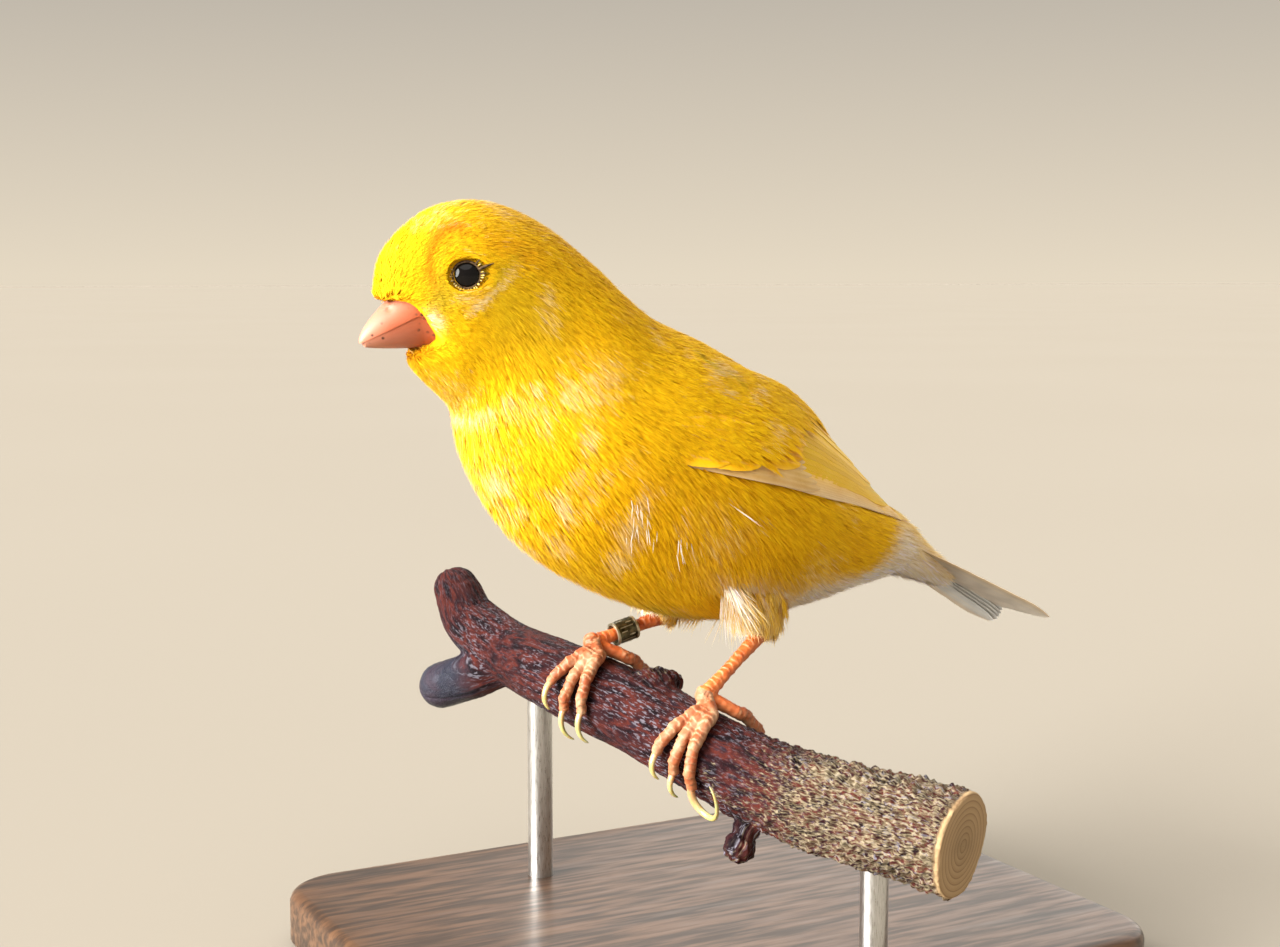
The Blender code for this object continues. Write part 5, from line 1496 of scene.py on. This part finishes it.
# Very short yellow feathers close round each eye's bare ring. Each is a fan of fine barbs, rooted in the
# skin just under the ring's edge, and lies back from it.
EYE_TUFTS = 420
EYE_TUFT_REACH = (0.0001, 0.0009)
EYE_TUFT_LENGTHS = (0.0007, 0.0012)
for side, name in ((-1, "left"), (1, "right")):
    _, outward = eye_seat(side)
    rim, level, up = eye_rim(side)
    turn = draw.uniform(0, 2 * math.pi, EYE_TUFTS)
    radial = np.outer(np.cos(turn), level) + np.outer(np.sin(turn), up)
    reach = EYE_SHOWN + draw.uniform(*EYE_TUFT_REACH, EYE_TUFTS)
    roots = rim + radial * reach[:, None] - outward * (0.00035 + 0.00010 * draw.random((EYE_TUFTS, 1)))
    ways = unit(radial * 0.9 + level * 0.5 + outward * 0.28 + draw.normal(0, 0.12, (EYE_TUFTS, 3)))
    outs = np.broadcast_to(outward, roots.shape)
    station = EYE_STATION + (roots - rim) @ level / (FACE_SCALE[0] / 1000)
    angle = side * -(EYE_ANGLE - (roots - rim) @ up / (FACE_SCALE[1] / 1000))
    pale, amber, olive, white = markings(station, angle, roots)
    # The extra olive on these tufts is painted shade of the hollow round the eye.
    marks = (0.3 * pale, amber, np.clip(olive + 0.22, 0, 1), 0 * white)
    lengths = draw.uniform(*EYE_TUFT_LENGTHS, EYE_TUFTS)
    patches = on_map(station, angle)
    free_tufts(
        f"feathers_eye_{name}", roots, ways, outs, lengths, draw, patches, marks, fan=0.3, width=0.00009
    )


# Tail coverts run on from the rump, pale yellow above and grey-white below. They are soft fans of barbs,
# rooted round the tail's root, and close over the bases of the long feathers.
TAIL_COVERT_TUFTS = 1500
COVERT_SPAN = (0.02, 0.44)
COVERT_WIDTHS = (0.0080, 0.0030)
COVERT_DEPTHS = (0.0058, 0.0016)
COVERT_LENGTHS = (0.0045, 0.0070)
TAIL_ROOT = BIRD + np.array([0.0400, 0.0, -0.0140])
TAIL_TIP = BIRD + np.array([0.0756, 0.0, -0.0330])
TAIL_ROLL = math.radians(12)


def tail_point(part, across, height):
    """Points of the tail: part of its length from the root, across it, and over its sheet."""
    axis = unit(TAIL_TIP - TAIL_ROOT)
    sideways = np.array([0.0, math.cos(TAIL_ROLL), -math.sin(TAIL_ROLL)])
    above = unit(np.cross(axis, sideways))
    above = above * np.sign(above[2])
    length = np.linalg.norm(TAIL_TIP - TAIL_ROOT)
    part, across, height = (np.asarray(value)[..., None] for value in (part, across, height))
    return TAIL_ROOT + axis * length * part + sideways * across + above * height


part = draw.uniform(*COVERT_SPAN, TAIL_COVERT_TUFTS)
turn = draw.uniform(0, 2 * math.pi, TAIL_COVERT_TUFTS)
width = np.interp(part, COVERT_SPAN, COVERT_WIDTHS)
depth = np.interp(part, COVERT_SPAN, COVERT_DEPTHS)
roots = tail_point(part, width * np.cos(turn), depth * np.sin(turn) - 0.0010)
middles = tail_point(part, 0 * part, 0 * part - 0.0010)
outs = unit(roots - middles)
ways = unit(unit(TAIL_TIP - TAIL_ROOT) - outs * 0.16 + draw.normal(0, 0.05, (TAIL_COVERT_TUFTS, 3)))
lengths = draw.uniform(*COVERT_LENGTHS, TAIL_COVERT_TUFTS) * (1 - 0.3 * part)
over = np.sin(turn)
patches = np.stack([0.93 + 0.06 * part, 0.5 + 0.45 * (turn / math.pi - 1)], 1)
white = np.clip(0.42 - 0.55 * over + 0.2 * part, 0, 1)
marks = (np.clip(0.55 + 0.3 * over, 0, 1), 0 * part, 0.15 + 0 * part, white)
free_tufts("feathers_tail_coverts", roots, ways, outs, lengths, draw, patches, marks, 0.22, width=0.00018)


# Fine white hairs show on the flanks between the yellow feathers, a few of them long. They are thin bundles
# of barbs, rooted in the skin in small bunches.
FLANK_HAIRS = 30
HAIR_LENGTHS = (0.0024, 0.0042)
LONG_HAIR = 0.0072
HAIR_BUNCHES = np.array([
    (6.95, 112.0), (7.08, 115.0), (7.22, 119.0), (7.40, 115.0), (7.48, 123.0), (7.66, 116.0), (7.80, 120.0),
    (7.25, 127.0), (7.76, 95.0),
])
for side, name in ((1, "left"), (-1, "right")):
    bunch = draw.integers(0, len(HAIR_BUNCHES) - 1, FLANK_HAIRS)
    station = HAIR_BUNCHES[bunch, 0] + draw.normal(0, 0.05, FLANK_HAIRS)
    angle = side * (HAIR_BUNCHES[bunch, 1] + 2.0 * draw.normal(0, 1, FLANK_HAIRS))
    station[0], angle[0] = HAIR_BUNCHES[-1, 0], side * HAIR_BUNCHES[-1, 1]
    points, back, round_it, outs = body_frame(station, angle)
    steep = np.radians(46 + 6 * draw.normal(0, 1, (FLANK_HAIRS, 1)))
    steep[0] = math.radians(6)
    ways = unit(unit(back) * np.cos(steep) + unit(round_it) * side * np.sin(steep) + outs * 0.13)
    lengths = draw.uniform(*HAIR_LENGTHS, FLANK_HAIRS)
    lengths[0] = LONG_HAIR
    patches = on_map(station, angle)
    marks = [np.full(FLANK_HAIRS, share) for share in (0.9, 0.0, 0.0, 0.85)]
    roots = points + outs * 0.0002
    free_tufts(
        f"hairs_{name}", roots, ways, outs, lengths, draw, patches, marks,
        fan=0.018, width=0.00007, rise=0.05,
    )


# Loose feathers hang round each thigh like short trousers: yellow within, white at the ends, longest in
# front, and drawn together over the heel.
THIGH_TUFTS = 1700
KNEE_TUFTS = 700
# The feathered stretch of the thigh, the feathers' lengths, and the knee's turns down.
THIGH_SPAN = (0.05, 0.86)
THIGH_LENGTHS = (0.0014, 0.0060)
KNEE_DOWN = (124, 152)
for name, (side, heel, knuckle, _) in LEGS.items():
    path = thigh_path(name)
    run = draw.uniform(*THIGH_SPAN, THIGH_TUFTS) ** 0.9
    steps = np.interp(run, np.linspace(0, 1, len(path)), np.arange(len(path)))
    middles = at_steps(path, steps)
    radii = np.interp(steps, np.arange(len(THIGH_RADII)), THIGH_RADII) * (0.80 - 0.34 * run**2)
    turn = draw.uniform(0, 2 * math.pi, THIGH_TUFTS)
    outs = np.stack([-np.cos(turn), np.sin(turn), 0 * turn], 1)
    front = np.clip(np.cos(turn), 0, 1)
    roots = middles + outs * radii[:, None]
    index = nearest(skin_rings.reshape(-1, 3), roots)
    patches = on_map(flat_stations[index], flat_angles[index])
    white = 0.75 * front**2 - 0.12 + 0.20 * rising(run, 0.3, 0.9) + draw.normal(0, 0.16, THIGH_TUFTS)
    pale = 0.35 + draw.normal(0, 0.25, THIGH_TUFTS)
    marks = (np.clip(pale, 0, 1), 0 * run, 0 * run, np.clip(white, 0, 1))
    ankle = path[-1] + unit(knuckle - heel) * 0.0012
    ways = unit(unit(ankle - roots) * 0.75 + np.array([0.0, 0.0, -0.35]) + outs * 0.10)
    ways = unit(ways + draw.normal(0, 0.15, (THIGH_TUFTS, 3)))
    lengths = np.linalg.norm(ankle - roots, axis=1) * draw.uniform(0.35, 0.95, THIGH_TUFTS)
    lengths = np.clip(lengths, *THIGH_LENGTHS)
    free_tufts(
        f"feathers_thigh_{name}", roots, ways, outs, lengths, draw, patches, marks,
        fan=0.22, width=0.00013, rise=0.1,
    )

    inward = draw.uniform(0, 1, KNEE_TUFTS)
    down = draw.uniform(*KNEE_DOWN, KNEE_TUFTS)
    station = 8.50 + (down - 126) * 0.024 + 0.72 * inward
    points, _, _, outs = body_frame(station, -side * down)
    roots = points - outs * 0.0006
    span = np.linalg.norm(ankle - roots, axis=1)
    aim = unit(ankle - roots + draw.normal(0, 0.0012, (KNEE_TUFTS, 3)))
    ways = aim * 0.8 + outs * 0.20 + np.array([0.0, 0.0, -0.20]) + draw.normal(0, 0.13, (KNEE_TUFTS, 3))
    ways = unit(ways)
    lengths = span * draw.uniform(0.25, 0.78, KNEE_TUFTS)
    white = 0.85 * rising(inward, 0.30, 0.05) - 0.08 + draw.normal(0, 0.28, KNEE_TUFTS)
    pale = 0.45 + draw.normal(0, 0.25, KNEE_TUFTS)
    marks = (np.clip(pale, 0, 1), 0 * down, 0 * down, np.clip(white, 0, 1))
    patches = on_map(station, -side * down)
    free_tufts(
        f"feathers_knee_{name}", roots, ways, outs, lengths, draw, patches, marks,
        fan=0.26, width=0.00012, rise=0.1, droop=0.05,
    )


# The wings are folded along the back: smooth yellow coverts over an olive-yellow fan of inner flight
# feathers, and the long pinkish-white primaries in a narrow stack under them to the wing's tip.
VANE_SHEET = 0.00010
SHINGLE_TILT = math.tan(math.radians(5))
# A vane's points along and across, its edges' wear, and how its barbs slant and lie apart.
WING_VANE_GRID = (30, 9)
WING_WEAR = 0.025
WING_BARB_SLANT = 1.5
BARB_SPACING = 0.0010
# Each tier, from its lowest feather to its highest: how many, the stations of the roots and of the tips,
# the places of both between the wing's lower edge (0) and upper (1), half widths, heights, and the tip's
# bluntness.
WING_TIERS = {
    "primaries": (
        9, (6.8, 7.1), (11.05, 10.05), (0.03, 0.17), (0.12, 0.38), (0.0017, 0.0021), (-0.0014, -0.0011), 0.78
    ),
    "secondaries": (
        8, (6.9, 7.2), (10.25, 9.50), (0.20, 0.62), (0.38, 0.68), (0.0022, 0.0025), (-0.0011, -0.0009), 0.86
    ),
    "tertials": (
        3, (7.1, 7.2), (9.85, 9.10), (0.72, 0.92), (0.70, 0.90), (0.0028, 0.0029), (-0.0009, -0.0007), 0.78
    ),
    "primary_coverts": (
        5, (6.7, 6.9), (8.75, 8.35), (0.05, 0.22), (0.07, 0.26), (0.0012, 0.0014), (-0.0010, -0.0009), 0.80
    ),
    "greater_coverts": (
        11, (6.8, 7.0), (8.35, 8.15), (0.20, 0.94), (0.22, 0.92), (0.0017, 0.0019), (-0.0008, -0.0005), 0.82
    ),
    "median_coverts": (
        10, (6.6, 6.8), (7.85, 7.80), (0.12, 0.92), (0.12, 0.90), (0.0016, 0.0018), (-0.0005, -0.0003), 0.72
    ),
    "lesser_coverts": (
        10, (6.4, 6.6), (7.50, 7.50), (0.10, 0.92), (0.10, 0.90), (0.0016, 0.0018), (-0.0003, -0.0001), 0.70
    ),
}
# How olive, white and amber each tier is, and how pale its feathers' edges are.
TIER_TONES = {
    "primaries": (0.10, 0.85, 0.05, 0.8), "secondaries": (0.95, 0.0, 0.0, 0.18),
    "tertials": (0.75, 0.0, 0.0, 0.50), "primary_coverts": (0.10, 0.70, 0.10, 0.4),
    "greater_coverts": (0.10, 0.0, 0.02, 0.30), "median_coverts": (0.02, 0.0, 0.06, 0.10),
    "lesser_coverts": (0.0, 0.0, 0.06, 0.10),
}


def closed_sheets(tops, bottoms):
    """Points and faces of closed thin sheets, from like grids of points on their upper and lower faces."""
    count, rows, row = tops.shape[:3]
    layer = rows * row
    one = []
    grid = np.arange(layer).reshape(rows, row).tolist()
    for line, after in zip(grid, grid[1:]):
        for a, b, c, d in zip(line, line[1:], after[1:], after):
            one += [(a, b, c, d), (a + layer, d + layer, c + layer, b + layer)]
    border = grid[0] + [line[-1] for line in grid[1:]] + grid[-1][-2::-1]
    border += [line[0] for line in grid[-2:0:-1]]
    one += [(b, a, a + layer, b + layer) for a, b in zip(border, border[1:] + border[:1])]
    points = np.stack([tops.reshape(count, -1, 3), bottoms.reshape(count, -1, 3)], 1).reshape(-1, 3)
    faces = [tuple(2 * layer * sheet + corner for corner in face) for sheet in range(count) for face in one]
    return points, faces


vane_feather, tree, shader = new_finish("vane_feather", Roughness=0.55, Specular_IOR_Level=0.15)
edge, olive, white, amber = read_mark(tree, "vane")
barb_line, chance, shaft, painted_shade = read_mark(tree, "barb")
uneven = cloud(tree, 260.0, 3.0)
web = add_node(tree, "CombineXYZ", {0: barb_line, 1: chance, 2: 0.0}).outputs[0]
barb_noise = {"Vector": web, "Scale": 3.2, "Detail": 3.0}
barbs = add_node(tree, "TexNoise", barb_noise, noise_dimensions="2D").outputs["Fac"]
vane_colour = use_group(
    tree, canary_yellow, Pale=edge, Amber=amber, Olive=olive, White=0.0,
    Tip=figure(tree, "MULTIPLY", 0.9, uneven), Chance=chance, Strand=barbs,
)["Colour"]
blush = shades(tree, uneven, (0.35, (0.46, 0.31, 0.14)), (0.65, (0.58, 0.42, 0.24)))
blush = blend(tree, edge, blush, (0.86, 0.70, 0.50))
# Painted shade: a bluish grey laid where the tail's vanes lie in shade, most on its far half.
painted_shade_grey = shades(tree, uneven, (0.35, (0.54, 0.57, 0.58)), (0.65, (0.66, 0.68, 0.67)))
blush = blend(tree, painted_shade, blush, painted_shade_grey)
vane_colour = blend(tree, white, vane_colour, blush)
vane_colour = tint(tree, shaft, 0.35, vane_colour, (0.80, 0.60, 0.30))
vane_height = over_base(tree, shaft, barbs, 0.7)
colour_it(tree, shader, vane_colour, None, vane_height, 0.5, 0.00012)


def vane_form(rows, columns, blunt, wear, draw):
    """Parts along a vane and across it, how its end narrows, and how ragged its edges are worn."""
    part = np.linspace(0, 1, rows)[:, None] ** 0.85
    over = np.linspace(-1, 1, columns)[None]
    taper = np.where(part < blunt, 1.0, np.sqrt(np.clip(1 - ((part - blunt) / (1.004 - blunt)) ** 2, 0, 1)))
    return part, over, taper, 1 + wear * draw.normal(0, 1, (rows, 1)) * (np.abs(over) > 0.9)


def run_of(points):
    """The distance of each point from the first, along its own line."""
    return np.linalg.norm(np.diff(points, axis=0, prepend=points[:1]), axis=-1).cumsum(0)


def vane_piece(name, tops, bottoms, vanes, barb_marks):
    """One piece of a stack of vanes, marked alike on their upper and lower faces."""
    points, faces = closed_sheets(np.array(tops), np.array(bottoms))
    made = make_piece(name, points, faces, vane_feather, sharp_from=60, outward=False)
    for label, rows in (("vane", vanes), ("barb", barb_marks)):
        rows = np.array(rows).reshape(len(tops), -1, 4)
        mark(made, label, *np.concatenate([rows, rows], 1).reshape(-1, 4).T)
    return made


def wing_vane(side, root, tip, root_place, tip_place, half_width, height, blunt, draw):
    """Upper and lower points of one feather of the folded wing, with its distances along and across."""
    part, over, taper, ragged = vane_form(*WING_VANE_GRID, blunt, WING_WEAR, draw)
    station = root + (tip - root) * part + 0 * over
    lower, upper = wing_edges(station)
    across_body = np.linalg.norm(on_body(station, lower - 20) - on_body(station, lower + 160), axis=-1)
    span = np.radians(lower - upper) * across_body / 2
    place = root_place + (tip_place - root_place) * part**1.3
    reach = half_width * (0.30 + 0.70 * np.minimum(part / 0.3, 1)) * (0.04 + 0.96 * taper) * ragged
    across = over * reach
    at = np.clip(place + across / span, 0.004, 0.996)
    angle = side * -(lower + (upper - lower) * at)
    point, _, _, normal = body_frame(station, angle)
    ridge = 0.00009 * near(over, 0.0, 0.16) * (1.1 - part)
    curved = -0.00016 * over**2 - 0.00010 * part
    lift = WING_LIFT * rising(station, 6.5, 8.2)
    rise = (height + lift + (place - at) * span * SHINGLE_TILT + ridge + curved)[..., None]
    return point + normal * rise, point + normal * (rise - VANE_SHEET), run_of(point), across, part, over


draw = np.random.default_rng(3)
for side, name in ((-1, "left"), (1, "right")):
    for tier, (count, *spans, blunt) in WING_TIERS.items():
        tops, bottoms, vanes, barb_marks = [], [], [], []
        olive_tone, white_tone, amber_tone, edge_tone = TIER_TONES[tier]
        for k in range(count):
            step = k / (count - 1)
            root, tip, *form = (low + (high - low) * step for low, high in spans)
            tip += draw.uniform(-0.03, 0.03)
            chance = draw.uniform()
            top, bottom, length, across, part, over = wing_vane(side, root, tip, *form, blunt, draw)
            tops.append(top)
            bottoms.append(bottom)
            full = 0 * length
            edge = np.clip(rising(-over, 0.55, 0.95) + 0.6 * rising(part, 0.93, 1.0), 0, 1)
            edge = edge_tone * edge + full
            white = np.clip(white_tone * (1 - 0.75 * step * (tier == "primaries")), 0, 1)
            white = np.clip(white + 0.15 * edge * (part > 0.5), 0, 1)
            olive = olive_tone * (0.45 + 0.55 * rising(over, -0.8, 0.2)) + full
            amber = amber_tone * (0.6 + 0.8 * chance) + full
            vanes.append(np.stack([edge, olive, white, amber], -1))
            barb = (length - np.abs(across) * WING_BARB_SLANT) / BARB_SPACING + 9.7 * k
            shaft = near(over, 0.0, 0.09) * (1 - 0.6 * part) + full
            barb_marks.append(np.stack([barb, full + chance, shaft, full], -1))
        wing = vane_piece(f"{tier}_{name}", tops, bottoms, vanes, barb_marks)
        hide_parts("wing_" + name)


# The tail is a narrow fan of twelve long feathers, notched at its end: near white, the inner ones yellow
# along their edges, and the far ones, showing under the near ones, painted bluish grey as painted shade.
TAIL_HALF_WIDTH = 0.0115
TAIL_NOTCH = 0.0045
TAIL_VANE_LENGTH = 0.038
TAIL_VANE_GRID = (40, 13)
TAIL_BLUNT = 0.82
TAIL_WEAR = 0.02
TAIL_BARB_SLANT = 1.4
TAIL_PAIRS = 6
TAIL_STEP = 0.00013
TAIL_TILT = math.tan(math.radians(0.4))
TAIL_VANE_HALF_WIDTH = 0.0028


def tail_vane(side, start, end, offset, height, half_width, draw):
    """Upper and lower points of one tail feather, its outer edge raised over the next one out."""
    part, over, taper, ragged = vane_form(*TAIL_VANE_GRID, TAIL_BLUNT, TAIL_WEAR, draw)
    at = start + (end - start) * part
    spread = offset[0] + (offset[1] - offset[0]) * at
    taper = taper * (1 - 0.35 * rising(part, 0.86, 1.0) * (over > 0.3))
    across = over * half_width * (0.5 + 0.5 * np.minimum(part / 0.45, 1)) * (0.05 + 0.95 * taper) * ragged
    ridge = 0.00010 * near(over, 0.0, 0.14) * (1.1 - part)
    rise = height + across * TAIL_TILT + ridge - 0.00014 * over**2 - 0.0002 * part * part
    top, bottom = (
        tail_point(at + 0 * over, side * (spread + across), level) for level in (rise, rise - VANE_SHEET)
    )
    return top, bottom, run_of(top), across, part + 0 * over, over + 0 * part


draw = np.random.default_rng(5)
for side, name in ((-1, "left"), (1, "right")):
    tops, bottoms, vanes, barb_marks = [], [], [], []
    for k in range(TAIL_PAIRS):
        step = (k + 0.5) / TAIL_PAIRS
        tip = 1.0 - TAIL_NOTCH * (1 - step) ** 1.2 / TAIL_VANE_LENGTH + draw.uniform(-0.006, 0.006)
        offset = (0.0007 + 0.0012 * step, (TAIL_HALF_WIDTH - TAIL_VANE_HALF_WIDTH) * step**0.9)
        height = -TAIL_STEP * k + (0.00012 if side > 0 else 0.0)
        form = tail_vane(side, 0.04, tip, offset, height, TAIL_VANE_HALF_WIDTH, draw)
        if side > 0:
            form = [rows[:, ::-1] for rows in form]
        top, bottom, length, across, part, over = form
        tops.append(top)
        bottoms.append(bottom)
        white = np.clip(0.97 - (0.55 if k < 3 else 0.25) * rising(over, 0.2, 0.9) * (1 - 0.6 * part), 0, 1)
        edge = 0.55 * rising(over, 0.4, 1.0)
        vanes.append(np.stack([edge, 0.12 * (1 - white), white, 0 * white], -1))
        barb = (length - np.abs(across) * TAIL_BARB_SLANT) / BARB_SPACING + 7.1 * k
        chance = draw.uniform()
        shaft = near(over, 0.0, 0.07) * (1 - 0.6 * part)
        # Painted shade: the tail is painted bluish grey, most on the far half.
        painted_shade = (0.95 if side > 0 else 0.60) - 0.35 * rising(over, 0.0, 1.0)
        barb_marks.append(np.stack([barb, 0 * barb + chance, shaft, painted_shade], -1))
    tail = vane_piece(f"tail_feathers_{name}", tops, bottoms, vanes, barb_marks)
    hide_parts("tail")


# The studio has a plain pale floor and soft light: a broad lamp low in front of the bird, a wide faint
# one over it, and another from behind to part its outline from the room.
FLOOR_SIZE = 40.0
CAMERA_AT = (-0.14589, -0.25197, 0.11034)
CAMERA_TURN = (math.radians(83.9), 0.0, math.radians(-28.0))
LENS = 51.975
SENSOR = 36.0

pale_floor, tree, shader = new_finish("pale_floor", Roughness=1.0, Specular_IOR_Level=0.0)
floor_colour = shades(
    tree, cloud(tree, 3.0, 0.0), (0.3, (0.330, 0.295, 0.245)), (0.7, (0.334, 0.299, 0.249))
)
colour_it(tree, shader, floor_colour)
reach = FLOOR_SIZE / 2
corners = [(-reach, -reach, 0), (reach, -reach, 0), (reach, reach, 0), (-reach, reach, 0)]
floor_mesh = bpy.data.meshes.new("floor")
floor_mesh.from_pydata(corners, [], [(0, 1, 2, 3)])
floor_mesh.materials.append(pale_floor)
floor = place_object("floor", floor_mesh)


def lamp(name, toward, softness, power, colour):
    """A lamp so far off that it lights bird and floor alike, as wide as its softness in degrees."""
    light = bpy.data.lights.new(name, "SUN")
    light.angle = math.radians(softness)
    light.energy = power
    light.color = colour
    holder = place_object(name, light)
    holder.location = Vector(toward)
    holder.rotation_euler = Vector(toward).to_track_quat("Z", "Y").to_euler()


lamp("key_lamp", (-0.92, 0.00, 0.32), 48.0, 12.8, (1.0, 0.985, 0.95))
lamp("top_lamp", (-0.15, -0.30, 1.00), 60.0, 1.5, (1.0, 0.98, 0.95))
lamp("back_lamp", (0.75, 0.55, 0.55), 60.0, 1.1, (1.0, 0.97, 0.92))
room = bpy.data.worlds.new("room")
room.use_nodes = True
toward = add_node(room.node_tree, "TexCoord").outputs["Generated"]
height_of_sky = add_node(room.node_tree, "SeparateXYZ", {0: toward}).outputs[2]
sky = shades(
    room.node_tree, height_of_sky,
    (0.0, (0.788, 0.692, 0.546)), (0.16, (0.50, 0.455, 0.39)), (0.9, (0.36, 0.345, 0.32)),
)
background = room.node_tree.nodes["Background"]
room.node_tree.links.new(sky, background.inputs["Color"])
background.inputs["Strength"].default_value = 1.0
bpy.context.scene.world = room
bpy.context.scene.view_settings.view_transform = "Standard"

lens = bpy.data.cameras.new("camera")
lens.lens = LENS
lens.sensor_width = SENSOR
lens.clip_start = 0.01
camera = place_object("camera", lens)
camera.location = CAMERA_AT
camera.rotation_euler = CAMERA_TURN
bpy.context.scene.camera = camera
